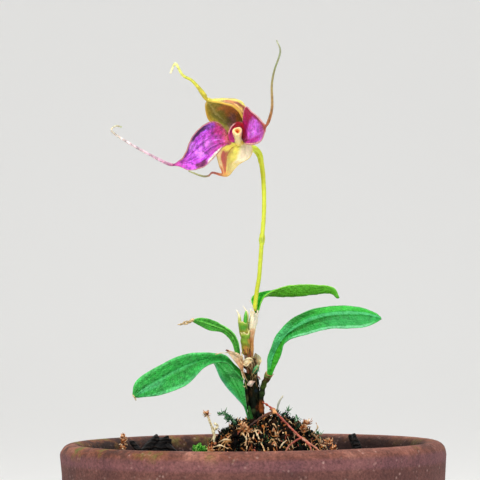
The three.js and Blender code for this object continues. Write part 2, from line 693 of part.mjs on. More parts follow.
const flower = {
  upper_sepal: {
    colour: 0xc2b03a,
    across: 6,
    left: [
      [-3.2, -1, 130.1], [-6.1, 0.5, 131.3], [-8.2, 0.2, 133.3], [-8.8, -1.2, 135.6],
      [-8.6, -3.1, 136.9],
    ],
    midrib: [
      [-2.7, -0.2, 130.9], [-1.1, 1.8, 134.6], [-2.6, 0.7, 136.8], [-5.6, -1.8, 137.2],
      [-8.2, -3.4, 137.1],
    ],
    right: [
      [-1.9, -1.1, 130.5], [-1.5, -2.5, 133.2], [-3, -4, 135.4], [-5.8, -4.4, 136.5], [-8, -3.8, 136.9],
    ],
    tail: [
      [-9, -3.8, 138], [-10, -4.1, 139.4], [-11.4, -4.5, 140.9], [-13.1, -4.8, 141.9],
      [-14.5, -4.9, 144.1], [-15.5, -4, 142.3],
    ],
  },
  lower_sepal: {
    colour: 0xe2cd84,
    across: 6,
    crease: 0.8,
    left: [
      [-2.8, -1.8, 128.2], [-5.5, -2.2, 127.7], [-6.4, -2.1, 125.9], [-6, -1.8, 124.2],
      [-5.6, -1.3, 123], [-6, -0.9, 122.8],
    ],
    midrib: [
      [-2.4, -1.5, 128.2], [-3.5, -0.6, 127], [-4.2, -0.3, 125.4], [-4.5, -0.5, 123.8],
      [-5.1, -1.1, 122.5], [-5.9, -0.9, 122.5],
    ],
    right: [
      [-1.8, -1.8, 128.2], [0.1, -2.3, 127.5], [-0.5, -2.2, 125.7], [-2.5, -1.9, 124.2],
      [-4.5, -1.4, 122.2], [-5.8, -0.9, 122.2],
    ],
    tail: [[-7.5, 0, 122.9], [-8.3, 0.5, 122.3], [-9.6, 0.9, 122.3], [-12.2, 1.1, 123.3]],
  },
  petal_left: {
    colour: 0xb63fc4,
    left: [
      [-3.7, -2.2, 129.1], [-5.2, -3.5, 131.7], [-7.7, -4.5, 132.8], [-10.9, -5.1, 130.5],
      [-12.6, -5, 127], [-14.4, -4.5, 124.9],
    ],
    midrib: [
      [-3.7, -2.1, 128.8], [-5, -2.7, 129.4], [-7.7, -3.3, 129], [-10, -3.9, 127.4],
      [-12.2, -4.3, 125.6], [-14.4, -4.4, 124.6],
    ],
    right: [
      [-3.7, -2.4, 128.5], [-5, -3.6, 128], [-7.4, -4.4, 125.6], [-9.4, -5.1, 123.7], [-12, -5.1, 123.4],
      [-14.4, -4.6, 124.2],
    ],
    tail: [
      [-16, -4.5, 124.6], [-19.4, -5, 126.3], [-24.3, -5.5, 129.1], [-27, -5, 131.1],
      [-26.3, -4.4, 132.1], [-25.1, -3.9, 131.9],
    ],
  },
  petal_right: {
    colour: 0xb63fc4,
    left: [
      [-1.3, -2.5, 129.3], [-1.2, -3.8, 133], [-0.7, -6.2, 135.5], [1, -9.5, 133.6], [2.7, -11.9, 131.9],
    ],
    midrib: [
      [-1.2, -2.5, 128.9], [-0.5, -4.8, 130.4], [0.9, -7.8, 131.8], [2, -10.2, 131.9],
      [2.8, -11.9, 131.6],
    ],
    right: [
      [-1.2, -2.7, 128.6], [-0.5, -5.5, 128.2], [1.1, -8.6, 128.2], [2.2, -10.8, 129.2], [3, -12, 131.2],
    ],
    tail: [
      [3.5, -12.3, 132.5], [4.2, -12.6, 135.2], [4.2, -12.3, 139.4], [4.7, -11.7, 142.3],
      [5.9, -10.8, 146], [5.2, -10.1, 148.3],
    ],
  },
  lip: {
    colour: 0x9c1330,
    left: [[-3, -2.9, 129.6], [-3.5, -3.8, 130.7], [-2.9, -3.9, 132.1]],
    midrib: [[-2.7, -2.2, 129.5], [-2.7, -2.6, 130.9], [-2.3, -3.4, 132.2]],
    right: [[-2.1, -2.6, 129.5], [-2, -3.3, 130.9], [-2, -3.7, 132.2]],
  },
};
for (const [name, { colour, ...shape }] of Object.entries(flower)) {
  const blade = sheet({ ...shape, thickness: PETAL_THICKNESS, tailHalf: TAIL_HALF_WIDTH });
  addNode(name, blade, colour, 0.5);
}
addNode('column', stem({
  path: [
    [-2.2, -2.9, 128.5], [-2.3, -3.4, 128.9], [-2.35, -4.2, 129.6], [-2.4, -4.8, 130.4],
    [-2.5, -5.2, 131.2],
  ],
  radius: [0.42, 0.52, 0.6, 0.85, 0.7],
  steps: 8,
  sides: 10,
}), 0xf0d98a, 0.45);

// Roots and small mosses on the mound

addNode('aerial_root_red', toGeometry(joined(redRoots.map(stem))), 0xc4685a, 0.7);
addNode('aerial_root_grey', stem(greyRoot), 0x8d9a86, 0.7);
addNode('moss_sprout_yellow', toGeometry(joined(yellowSprout.map(stem))), 0xc9a45c, 0.8);
addNode('moss_sprig_grey', toGeometry(joined(mossSprig.map(stem))), 0x7d9a7c, 0.8);

// A rosette of bright green moss on the bark
function mossTuft() {
  const random = seeded(19);
  const [x, y, z] = TUFT_FOOT;
  const spikes = [];
  for (let i = 0; i < TUFT_SPIKES; i++) {
    const angle = GOLDEN_ANGLE * i;
    const spread = 1.9 * Math.sqrt(i / TUFT_SPIKES);
    const height = TUFT_HEIGHT * (1 - 0.25 * spread / 1.9) * (0.85 + 0.15 * random());
    const step = (share, up) => [
      x + share * spread * Math.cos(angle),
      y + share * spread * Math.sin(angle),
      z + up * height,
    ];
    const path = [step(0.2, 0), step(0.4, 0.55), step(1, 1)];
    spikes.push(stem({ path, radius: [0.6, 0.5, 0.3], steps: 3, sides: 4 }));
  }
  return joined(spikes);
}
addNode('moss_tuft_green', toGeometry(mossTuft()), 0x4fa436, 0.8);

export default part;
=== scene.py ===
# %% [markdown]
# # Dressing a small potted orchid
# The solids of this orchid are already packed as a fixed frame, in metres, with the origin under the middle
# of the pot. This lesson gives each solid a finer surface and a finish: a clay pot, a heap of dead moss and
# roots, leathery leaves and one long-tailed flower. Each new surface is a function of two parameters,
# worked out with numpy as whole arrays, because a formula keeps the form of the solid that it stands for
# and can be made as fine as it needs to be.

# %% Frame, libraries and units
import math

import bpy
import numpy as np
from mathutils import Matrix, Vector


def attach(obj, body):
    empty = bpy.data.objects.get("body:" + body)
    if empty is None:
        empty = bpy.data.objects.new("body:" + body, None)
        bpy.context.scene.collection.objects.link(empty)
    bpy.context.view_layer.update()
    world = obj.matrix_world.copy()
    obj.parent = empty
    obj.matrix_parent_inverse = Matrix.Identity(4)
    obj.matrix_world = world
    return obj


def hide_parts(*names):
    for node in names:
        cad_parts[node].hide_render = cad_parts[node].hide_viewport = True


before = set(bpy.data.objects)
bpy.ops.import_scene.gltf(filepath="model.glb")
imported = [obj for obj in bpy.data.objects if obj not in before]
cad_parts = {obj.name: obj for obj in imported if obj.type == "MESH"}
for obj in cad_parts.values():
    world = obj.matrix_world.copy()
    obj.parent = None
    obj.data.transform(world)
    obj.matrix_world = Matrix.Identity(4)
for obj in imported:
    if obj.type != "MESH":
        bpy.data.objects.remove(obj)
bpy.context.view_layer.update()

MM = 0.001
TURN = 2 * math.pi
print("solids in the frame:", len(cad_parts))

# %% [markdown]
# ## Lines, frames and closed skins
# A plant is made of blades and stems. Both can be described by a few points and a smooth line through them,
# so this step makes three tools: a smooth line, a set of directions that travels along it without twisting,
# and a closed skin over a row of rings. A leaf is then a row of flat rings, and a stem a row of round ones.


# %% Smooth lines
def smooth_line(points, share):
    """Places at shares from 0 to 1 of the way along evenly keyed points. Between two points the place is a
    cubic that leaves and arrives with half the step between the points on either side. Past each end the
    last step is repeated."""
    given = np.asarray(points, float)
    padded = np.vstack([2 * given[0] - given[1], given, 2 * given[-1] - given[-2]])
    place = np.clip(share, 0, 1) * (len(given) - 1)
    key = np.minimum(place.astype(int), len(given) - 2)
    w = (place - key)[:, None]
    a, b, c, d = padded[key], padded[key + 1], padded[key + 2], padded[key + 3]
    return b + w / 2 * ((c - a) + w * ((2 * a - 5 * b + 4 * c - d) + w * (3 * b - a - 3 * c + d)))


def even_line(points, count):
    """Places with equal steps between them along the smooth line through the points."""
    dense = smooth_line(points, np.linspace(0, 1, 600))
    run = np.concatenate([[0], np.cumsum(np.linalg.norm(np.diff(dense, axis=0), axis=1))])
    at = np.linspace(0, run[-1], count)
    return np.stack([np.interp(at, run, dense[:, axis]) for axis in range(3)], 1)


def unit(vectors):
    """Each vector divided by its length."""
    return vectors / np.maximum(np.linalg.norm(vectors, axis=-1, keepdims=True), 1e-12)


def ease(low, high, value):
    """0 below low, 1 above high, and the smooth step 3x^2 - 2x^3 between them."""
    x = np.clip((value - low) / (high - low), 0, 1)
    return x * x * (3 - 2 * x)


# %% Rings along a route
def side_vectors(routes):
    """For routes of shape (bodies, rows, 3), two unit vectors across each row. The first is carried from
    row to row and made square to the way on, so that it never twists. The second is the way on crossed with
    the first."""
    ahead = unit(np.gradient(routes, axis=1))
    spare = np.where(np.abs(ahead[:, :1, 2:]) < 0.9, [[[0.0, 0.0, 1.0]]], [[[1.0, 0.0, 0.0]]])
    first = [unit(np.cross(ahead[:, 0], spare[:, 0]))]
    for row in range(1, routes.shape[1]):
        last = first[-1]
        along = ahead[:, row]
        first.append(unit(last - (last * along).sum(-1, keepdims=True) * along))
    across = np.stack(first, 1)
    return across, np.cross(ahead, across)


def stem_rings(routes, radius, sides, flat=1.0, lobes=0, lobe_depth=0.0):
    """Rings of points round routes of shape (bodies, rows, 3). A point at angle q lies at the route plus
    radius times cos q along the first side vector and flat times sin q along the second. Lobes make the
    radius swell and shrink that many times round the ring, in the same way on every row."""
    across, up = side_vectors(routes)
    q = TURN * np.arange(sides) / sides
    swell = 1 + lobe_depth * np.cos(lobes * q)
    reach = np.broadcast_to(radius, routes.shape[:2])[..., None, None] * swell[:, None]
    return (
        routes[:, :, None]
        + reach * np.cos(q)[:, None] * across[:, :, None]
        + flat * reach * np.sin(q)[:, None] * up[:, :, None]
    )


# %% Skins over rings
def skin(rings, traits=None, wrap=False):
    """Closed triangles over rings of shape (bodies, rows, sides, 3). Each pair of neighbouring rings is
    joined by two triangles a side. Each end gets a middle point and a fan, or with wrap the last ring is
    joined to the first. traits holds numbers for each point in the same order, and the middle points get
    their ring's mean."""
    bodies, rows, sides, _ = rings.shape
    side = np.arange(sides)
    after = (side + 1) % sides
    row = np.arange(rows if wrap else rows - 1)[:, None]
    low = row * sides
    high = (row + 1) % rows * sides
    first = np.stack(np.broadcast_arrays(low + side, low + after, high + after), -1).reshape(-1, 3)
    second = np.stack(np.broadcast_arrays(low + side, high + after, high + side), -1).reshape(-1, 3)
    triangles = [first, second]
    points = rings.reshape(bodies, rows * sides, 3)
    kept = None if traits is None else traits.reshape(bodies, rows * sides, -1)
    if not wrap:
        foot = np.full(sides, rows * sides)
        last = (rows - 1) * sides
        triangles.append(np.stack([foot, after, side], -1))
        triangles.append(np.stack([foot + 1, last + side, last + after], -1))
        points = np.concatenate([points, rings[:, [0, -1]].mean(2)], 1)
        if kept is not None:
            kept = np.concatenate([kept, traits[:, [0, -1]].mean(2)], 1)
    start = np.arange(bodies)[:, None, None] * points.shape[1]
    triangles = (start + np.concatenate(triangles)).reshape(-1, 3)
    points = points.reshape(-1, 3)
    a, b, c = (points[triangles[:, corner]] for corner in range(3))
    if (a * np.cross(b, c)).sum() < 0:
        triangles = triangles[:, ::-1]
    return points, triangles, None if kept is None else kept.reshape(-1, kept.shape[-1])


def together(*skins):
    """Several skins as one list of points, triangles and traits."""
    starts = np.cumsum([0] + [len(points) for points, _, _ in skins[:-1]])
    points = np.concatenate([points for points, _, _ in skins])
    triangles = np.concatenate([tris + start for (_, tris, _), start in zip(skins, starts)])
    traits = None if skins[0][2] is None else np.concatenate([kept for _, _, kept in skins])
    return points, triangles, traits


# %% Uneven surfaces
def ripple(points, size, seed, waves=14):
    """Smooth, repeatable heights from about -1 to 1: a sum of sine waves in seeded directions, whose
    lengths are from 0.7 to 1.6 times size, in the points' own unit."""
    draw = np.random.default_rng(seed)
    way = unit(draw.normal(size=(waves, 3)))
    pitch = TURN / (size * draw.uniform(0.7, 1.6, waves))
    phase = draw.uniform(0, TURN, waves)
    return np.sin(points @ (way * pitch[:, None]).T + phase).sum(-1) / math.sqrt(waves)


# %% [markdown]
# ## From arrays to pieces
# One function writes the arrays into a mesh, names the piece, gives it its material and hides the
# solids that it stands for. The numbers kept for each point go into a vector attribute called place, so
# that a material can follow a blade from its foot to its tip whatever way the blade bends.


# %% Pieces
made_pieces = {}


def smooth_mesh(name, points, faces, material):
    """A smooth mesh of one material, from points in millimetres."""
    mesh = bpy.data.meshes.new(name)
    mesh.from_pydata(points * MM, [], faces)
    mesh.polygons.foreach_set("use_smooth", np.ones(len(faces), bool))
    mesh.materials.append(material)
    return mesh


def put_in_scene(name, data):
    """An object for a mesh, a camera or a lamp."""
    made = bpy.data.objects.new(name, data)
    bpy.context.scene.collection.objects.link(made)
    return made


def piece(name, body, material, replaces=()):
    """A mesh object from a skin in millimetres, riding on the part's one body."""
    points, triangles, traits = body
    mesh = smooth_mesh(name, points, triangles, material)
    if traits is not None:
        place = mesh.attributes.new("place", "FLOAT_VECTOR", "POINT")
        place.data.foreach_set("vector", np.ascontiguousarray(traits, np.float32).ravel())
    mesh.validate()
    made = put_in_scene(name, mesh)
    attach(made, "root")
    if replaces:
        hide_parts(*replaces)
    made_pieces[name] = len(triangles)


# %% [markdown]
# ## Colours and nodes
# Colours are picked as sRGB hex values, the way a screen shows them, and one function turns them into the
# linear values that a renderer adds and multiplies. One small function adds a node. A few more hold the
# steps that several finishes share: a layer or a band of colour, a tone taken from a noise, a place that a
# noise shifts, and the last settings of the shader. A finish is then a short list of nodes.


# %% Colour and node helpers
def linear(hex_colour):
    """The linear red, green, blue and alpha of an sRGB hex value."""
    parts = np.array([int(hex_colour[i:i + 2], 16) / 255 for i in (1, 3, 5)])
    return (*np.where(parts <= 0.04045, parts / 12.92, ((parts + 0.055) / 1.055) ** 2.4), 1.0)


def node(tree, kind, inputs=(), stops=(), **settings):
    """One more node. inputs pairs a socket's name or number with a value or with the output that feeds it.
    stops are a colour ramp's places and hex colours."""
    made = tree.nodes.new(kind)
    for name, value in settings.items():
        setattr(made, name, value)
    for key, value in dict(inputs).items():
        if isinstance(value, bpy.types.NodeSocket):
            tree.links.new(value, made.inputs[key])
        else:
            made.inputs[key].default_value = value
    for number, (at, hex_colour) in enumerate(stops):
        stop = made.color_ramp.elements[number] if number < 2 else made.color_ramp.elements.new(at)
        stop.position = at
        stop.color = linear(hex_colour)
    return made


def finish_for(name):
    """A new material with its node tree and its surface shader."""
    material = bpy.data.materials.new(name)
    material.use_nodes = True
    return material, material.node_tree, material.node_tree.nodes["Principled BSDF"]


def layered(tree, colour, layers):
    """Lays colours over a colour in turn. Each layer is the share of it that shows and its hex value."""
    for share, hex_colour in layers:
        over = node(tree, "ShaderNodeMix", {0: share, 6: colour, 7: linear(hex_colour)}, data_type="RGBA")
        colour = over.outputs[2]
    return colour


def window(tree, value, middle, half, soft, most=1.0):
    """most where the value is within half of the middle, falling smoothly to 0 over soft beyond that."""
    shift = node(tree, "ShaderNodeMath", {0: value, 1: middle}, operation="SUBTRACT").outputs[0]
    away = node(tree, "ShaderNodeMath", {0: shift}, operation="ABSOLUTE").outputs[0]
    limits = {"Value": away, "From Min": half + soft, "From Max": half, "To Max": most}
    return node(tree, "ShaderNodeMapRange", limits, interpolation_type="SMOOTHSTEP").outputs["Result"]


def bumped(tree, shader, height, depth_mm, strength=1.0):
    """Lets a height from 0 to 1 tilt the shader's normals, as a relief of the given depth would."""
    relief = node(
        tree, "ShaderNodeBump", {"Height": height, "Distance": depth_mm * MM, "Strength": strength})
    tree.links.new(relief.outputs["Normal"], shader.inputs["Normal"])


# %% Shared steps of the finishes
def placed_finish(name):
    """A new material, its tree and its shader, then the place in space, the trait called place, and the
    three numbers of that trait."""
    material, tree, shader = finish_for(name)
    at = node(tree, "ShaderNodeTexCoord").outputs["Object"]
    place = node(tree, "ShaderNodeAttribute", attribute_name="place").outputs["Vector"]
    return material, tree, shader, at, place, node(tree, "ShaderNodeSeparateXYZ", {0: place}).outputs


def wavered(tree, place, noise, amount):
    """A place that a noise shifts by up to half the amount either way."""
    shifted = node(tree, "ShaderNodeMath", {0: noise, 1: amount, 2: place}, operation="MULTIPLY_ADD")
    centred = node(tree, "ShaderNodeMath", {0: shifted.outputs[0], 1: amount / 2}, operation="SUBTRACT")
    return centred.outputs[0]


def toned(tree, colour, source, low, high, darkest, lightest):
    """Scales a colour by a number that runs from darkest to lightest while the source runs from low to
    high."""
    limits = {"Value": source, "From Min": low, "From Max": high, "To Min": darkest, "To Max": lightest}
    tone = node(tree, "ShaderNodeMapRange", limits).outputs["Result"]
    return node(tree, "ShaderNodeVectorMath", {0: colour, "Scale": tone}, operation="SCALE").outputs["Vector"]


def banded(tree, colour, across, along, zones):
    """Lays bands of colour over a colour. Each zone is a hex value, a strength, the band's middle, half
    width and softness from edge to edge (-1 to 1), and the same along the blade (0 to 1)."""
    for hex_colour, strength, band, reach in zones:
        sides = {0: window(tree, across, *band, strength), 1: window(tree, along, *reach)}
        here = node(tree, "ShaderNodeMath", sides, operation="MULTIPLY").outputs[0]
        colour = layered(tree, colour, [(here, hex_colour)])
    return colour


def surfaced(tree, shader, colour, roughness, specular, glow=0.0, glow_mm=0.4):
    """Feeds a colour to the shader and sets its roughness, its specular level, and the share of light that
    goes through with the distance that it goes."""
    tree.links.new(colour, shader.inputs["Base Color"])
    shader.inputs["Roughness"].default_value = roughness
    shader.inputs["Specular IOR Level"].default_value = specular
    shader.inputs["Subsurface Weight"].default_value = glow
    shader.inputs["Subsurface Scale"].default_value = glow_mm * MM


# %% [markdown]
# ## Stage, light and camera
# The photograph is a close view from far off with a long lens, level with the leaves, so its lines hardly
# converge. The camera stands 0.8 m in front and has the lens that gives the same scale. The floor runs back
# and curves up into a wall, as a photographer's paper roll does, so that no horizon line shows.

# %% Camera
CAMERA_PLACE = (-2.205, -800.0, 109.65)
CAMERA_LENS = 305.85
CAMERA_ROLL = math.radians(0.5)

camera_data = bpy.data.cameras.new("long_lens")
camera_data.lens = CAMERA_LENS
camera_data.sensor_width = 36
camera_data.clip_start = 0.05
camera_data.clip_end = 20
camera = put_in_scene("long_lens", camera_data)
right_way = Vector((math.cos(CAMERA_ROLL), 0, -math.sin(CAMERA_ROLL)))
up_way = Vector((math.sin(CAMERA_ROLL), 0, math.cos(CAMERA_ROLL)))
camera.matrix_world = Matrix((
    (right_way.x, up_way.x, 0, CAMERA_PLACE[0] * MM),
    (right_way.y, up_way.y, -1, CAMERA_PLACE[1] * MM),
    (right_way.z, up_way.z, 0, CAMERA_PLACE[2] * MM),
    (0, 0, 0, 1),
))
bpy.context.scene.camera = camera

# %% Paper roll
ROLL_HALF_WIDTH = 2400.0
ROLL_PROFILE = [
    (-2600, 0), (-1600, 0), (-600, 0), (300, 0), (900, 0), (1400, 60), (1750, 330), (1900, 800),
    (1940, 1500), (1950, 2400),
]


def paper_roll():
    """A sheet of the profile's points, smoothed, and as wide as the roll. The floor stays at height 0."""
    keys = np.array([(0, y, z) for y, z in ROLL_PROFILE], float)
    line = smooth_line(keys, np.linspace(0, 1, 90))
    line[:, 2] = np.maximum(line[:, 2], 0)
    left = line - (ROLL_HALF_WIDTH, 0, 0)
    right = line + (ROLL_HALF_WIDTH, 0, 0)
    row = np.arange(89)[:, None] * 2
    return np.stack([left, right], 1).reshape(-1, 3), row + np.array([[0, 1, 3, 2]])


paper, paper_tree, paper_shader = finish_for("pale_paper")
# A faint cloud about 1.7 m across keeps the paper from being one flat tone
paper_place = node(paper_tree, "ShaderNodeTexCoord").outputs["Object"]
paper_grain = node(paper_tree, "ShaderNodeTexNoise", {"Vector": paper_place, "Scale": 0.6, "Detail": 2.0})
paper_tone = node(
    paper_tree, "ShaderNodeValToRGB", {"Fac": paper_grain.outputs["Fac"]},
    stops=[(0.3, "#efeeeb"), (0.7, "#f4f3f0")],
)
paper_tree.links.new(paper_tone.outputs["Color"], paper_shader.inputs["Base Color"])
paper_shader.inputs["Roughness"].default_value = 0.9
roll = put_in_scene("paper_roll", smooth_mesh("paper_roll", *paper_roll(), paper))

# %% Lamps
PLANT_HEART = (0, 0, 100)
LAMPS = {
    "key_softbox": {"at": (-420, -760, 900), "size": 420, "watts": 12.5, "hue": "#fffaf2"},
    "fill_softbox": {"at": (700, -620, 420), "size": 600, "watts": 4, "hue": "#f4f7ff"},
    "top_softbox": {"at": (120, 260, 900), "size": 500, "watts": 6, "hue": "#ffffff"},
    "wall_washer": {"at": (0, 800, 1300), "size": 900, "watts": 5, "hue": "#fbfcff", "aim": (0, 1900, 350)},
}
for lamp_name, lamp in LAMPS.items():
    light = bpy.data.lights.new(lamp_name, "AREA")
    light.size = lamp["size"] * MM
    light.energy = lamp["watts"]
    light.color = linear(lamp["hue"])[:3]
    holder = put_in_scene(lamp_name, light)
    holder.location = Vector(lamp["at"]) * MM
    to_aim = Vector(lamp.get("aim", PLANT_HEART)) * MM - holder.location
    holder.rotation_euler = to_aim.to_track_quat("-Z", "Y").to_euler()

world = bpy.data.worlds.new("soft_room")
world.use_nodes = True
world.node_tree.nodes["Background"].inputs["Color"].default_value = linear("#e9ecf0")
world.node_tree.nodes["Background"].inputs["Strength"].default_value = 0.4
bpy.context.scene.world = world
bpy.context.scene.view_settings.view_transform = "Standard"
print("camera, paper roll and", len(LAMPS), "lamps are in place")

# %% [markdown]
# ## The clay pot
# A common clay pot is thrown or pressed from red earthenware and fired unglazed, so it stays porous. Water
# that dries through its wall leaves pale mineral specks, and moss and algae settle on the damp rim. Its
# form is one closed profile turned round the axis. The profile here is finer than that of the solid and
# wanders by a tenth of a millimetre, because a perfect turned edge would look like plastic.

# %% Pot sizes
POT_HEIGHT = 70.0
RIM_RADIUS = 38.0
RIM_BAND = 17.0
BODY_TOP_RADIUS = 35.2
BASE_RADIUS = 26.0
WALL_TOP = 4.8
INNER_FLOOR_RADIUS = 22.2
FLOOR_THICKNESS = 6.0
DRAIN_RADIUS = 5.0
LIP_RADIUS = WALL_TOP / 2
RIM_FLOOR = POT_HEIGHT - RIM_BAND


# %% Pot surface
def arc(x, y, radius, start, stop, count):
    """Points on an arc round a centre, with its angles in degrees."""
    q = np.radians(np.linspace(start, stop, count))
    return np.stack([x + radius * np.cos(q), y + radius * np.sin(q)], 1)


def pot_profile():
    """Radius and height of the pot's outline, from the drain hole out, up the wall, over the lip and
    back."""
    return np.concatenate([
        [(DRAIN_RADIUS, 0.4), (DRAIN_RADIUS + 0.4, 0), (16, 0)],
        arc(BASE_RADIUS - 1.2, 1.2, 1.2, -90, -12, 5),
        np.linspace((BASE_RADIUS + 0.2, 2.2), (BODY_TOP_RADIUS, RIM_FLOOR - 1.2), 14),
        [(BODY_TOP_RADIUS + 0.2, RIM_FLOOR - 0.5)],
        arc(RIM_RADIUS - 1.6, RIM_FLOOR + 1, 1, -90, 0, 6),
        np.linspace((RIM_RADIUS - 0.55, RIM_FLOOR + 3), (RIM_RADIUS - 0.3, RIM_FLOOR + 11), 3),
        arc(RIM_RADIUS - LIP_RADIUS, POT_HEIGHT - LIP_RADIUS, LIP_RADIUS, -4, 180, 17),
        np.linspace((RIM_RADIUS - WALL_TOP - 0.3, POT_HEIGHT - LIP_RADIUS - 2),
                    (INNER_FLOOR_RADIUS, FLOOR_THICKNESS), 8),
        [(DRAIN_RADIUS + 0.4, FLOOR_THICKNESS), (DRAIN_RADIUS, FLOOR_THICKNESS - 0.4)],
    ])


def pot_surface(turns=288):
    """The profile turned round the axis. The wall swells and shrinks by a seeded ripple, only inward of the
    profile, so that the rim keeps its radius."""
    profile = pot_profile()
    q = TURN * np.arange(turns)[:, None] / turns
    ring = np.stack([profile[:, 0] * np.cos(q), profile[:, 0] * np.sin(q), profile[:, 1] + 0 * q], -1)
    outward = np.stack([np.cos(q), np.sin(q), 0 * q], -1)
    wander = 0.07 * ripple(ring, 9, 3) + 0.05 * ripple(ring, 2.2, 4) + 0.03 * ripple(ring, 0.8, 5)
    shared = ease(0.5, 6, ring[..., 2])[..., None]
    return skin((ring + outward * shared * (wander[..., None] - 0.15))[None], wrap=True)


# %% Fired clay
def fired_clay():
    """Earthenware with a grain of 0.5 mm grit and pale specks. Height sets a mauve belt under the lip and,
    below it, a darker band that is painted shade under the lip. The inside wall is darkened as painted shade.
    Rust and moss stain the lip, most of all on the left."""
    material, tree, shader = finish_for("fired_earthenware")
    at = node(tree, "ShaderNodeTexCoord").outputs["Object"]
    split = node(tree, "ShaderNodeSeparateXYZ", {0: at}).outputs
    flat = node(tree, "ShaderNodeCombineXYZ", {0: split["X"], 1: split["Y"]}).outputs["Vector"]
    from_axis = node(tree, "ShaderNodeVectorMath", {0: flat}, operation="LENGTH").outputs["Value"]
    cloud = node(
        tree, "ShaderNodeTexNoise", {"Vector": at, "Scale": 0.09 / MM, "Detail": 6.0, "Roughness": 0.66})
    clay = node(
        tree, "ShaderNodeValToRGB", {"Fac": cloud.outputs["Fac"]},
        stops=[(0.32, "#4c2a24"), (0.44, "#6a3d32"), (0.54, "#845144"), (0.68, "#a87262")],
    ).outputs["Color"]
    # The mauve belt, painted shade under the lip, and painted shade on the inner wall
    belt = window(tree, split["Z"], 67.2 * MM, 0.7 * MM, 1.0 * MM, 0.6)
    under = node(
        tree, "ShaderNodeMapRange",
        {"Value": split["Z"], "From Min": 66.8 * MM, "From Max": 65.6 * MM, "To Max": 0.7},
    ).outputs["Result"]
    inside = node(
        tree, "ShaderNodeMapRange",
        {"Value": from_axis, "From Min": 35.0 * MM, "From Max": 33.6 * MM, "To Max": 0.9},
    ).outputs["Result"]
    clay = layered(tree, clay, [(belt, "#6d4850"), (under, "#553634"), (inside, "#221512")])
    # Stains on the lip: rust orange, olive moss and soot, in ragged patches
    stains = node(
        tree, "ShaderNodeTexNoise", {"Vector": at, "Scale": 0.15 / MM, "Detail": 5.0, "Roughness": 0.7})
    lip = node(
        tree, "ShaderNodeMapRange", {"Value": split["Z"], "From Min": 67.0 * MM, "From Max": 69.6 * MM},
    ).outputs["Result"]
    leftward = node(
        tree, "ShaderNodeMapRange",
        {"Value": split["X"], "From Min": 4 * MM, "From Max": -30 * MM, "To Min": 0.3, "To Max": 1.0},
    ).outputs["Result"]
    here = node(tree, "ShaderNodeMath", {0: lip, 1: leftward}, operation="MULTIPLY").outputs[0]
    for hex_colour, low, high, amount in (
        ("#2c1e18", 0.54, 0.4, 0.9), ("#8c5428", 0.5, 0.6, 0.6), ("#55602a", 0.56, 0.64, 0.85),
    ):
        patch = node(
            tree, "ShaderNodeMapRange",
            {"Value": stains.outputs["Fac"], "From Min": low, "From Max": high, "To Max": amount},
        ).outputs["Result"]
        share = node(tree, "ShaderNodeMath", {0: patch, 1: here}, operation="MULTIPLY").outputs[0]
        clay = layered(tree, clay, [(share, hex_colour)])
    # Pale mineral specks about 0.4 mm across, in drifts
    specks = node(tree, "ShaderNodeTexVoronoi", {"Vector": at, "Scale": 1.05 / MM})
    speck = node(
        tree, "ShaderNodeMapRange", {"Value": specks.outputs["Distance"], "From Min": 0.36, "From Max": 0.1},
    ).outputs["Result"]
    drifts = node(tree, "ShaderNodeTexNoise", {"Vector": at, "Scale": 0.42 / MM, "Detail": 4.0})
    drift = node(
        tree, "ShaderNodeMapRange",
        {"Value": drifts.outputs["Fac"], "From Min": 0.5, "From Max": 0.7, "To Max": 0.45},
    ).outputs["Result"]
    pale = node(tree, "ShaderNodeMath", {0: speck, 1: drift}, operation="MULTIPLY").outputs[0]
    clay = layered(tree, clay, [(pale, "#d0aea2")])
    grit = node(
        tree, "ShaderNodeTexNoise", {"Vector": at, "Scale": 1.9 / MM, "Detail": 4.0, "Roughness": 0.7})
    surfaced(tree, shader, toned(tree, clay, grit.outputs["Fac"], 0.35, 0.7, 0.62, 1.3), 0.88, 0.3)
    bumped(tree, shader, grit.outputs["Fac"], 0.3, 0.9)
    return material


piece("clay_pot_turned", pot_surface(), fired_clay(), ["clay_pot"])
print("pot triangles:", made_pieces["clay_pot_turned"])

# %% [markdown]
# ## Bark in the pot
# Orchid mix is chopped pine bark: flat, splintery blocks that turn black when they are wet and old. A block
# is a ball whose sine and cosine are raised to a small power, which squares it off, and a ripple then
# breaks its faces. One function makes hundreds of them at once, and the same function makes the few large
# chips that stand up in view.

# %% Bark sizes
MIX_LEVEL = 65.2
MOUND_CENTRE = np.array([2.5, 0.0])
MOUND_RADIUS = 13.0
MOUND_TOP = 74.4
CLEARANCE = 0.3
# Half the length, the width and the thickness of a loose chip, each from least to most
CHIP_HALF_SIZES = [(1.1, 3.2), (0.8, 1.8), (0.4, 0.9)]


# %% Bark surfaces
def squared(values, power):
    """Each value with its size raised to a power and its sign kept."""
    return np.sign(values) * np.abs(values) ** power


def chip_rings(at, half, yaw, pitch, roll, seed, rows=9, sides=12):
    """Blocks with squared-off faces. Their long way is x before they are rolled, pitched and yawed, in
    radians."""
    polar = np.pi * (np.arange(rows) + 0.5) / rows
    q = TURN * np.arange(sides) / sides
    long_way = squared(np.cos(polar), 0.5)[:, None] + 0 * q
    girth = squared(np.sin(polar), 0.35)[:, None]
    block = np.stack([long_way, girth * squared(np.cos(q), 0.45), girth * squared(np.sin(q), 0.45)], -1)
    rings = block * half[:, None, None]
    broken = rings + np.arange(len(at))[:, None, None, None] * 17.0
    rings = rings * (1 + 0.13 * ripple(broken, 2.4, seed) + 0.05 * ripple(broken, 0.8, seed + 1))[..., None]
    for angle, first, second in ((roll, 1, 2), (pitch, 2, 0), (yaw, 0, 1)):
        c = np.cos(angle)[:, None, None]
        s = np.sin(angle)[:, None, None]
        turned = rings.copy()
        turned[..., first] = c * rings[..., first] - s * rings[..., second]
        turned[..., second] = s * rings[..., first] + c * rings[..., second]
        rings = turned
    return rings + at[:, None, None]


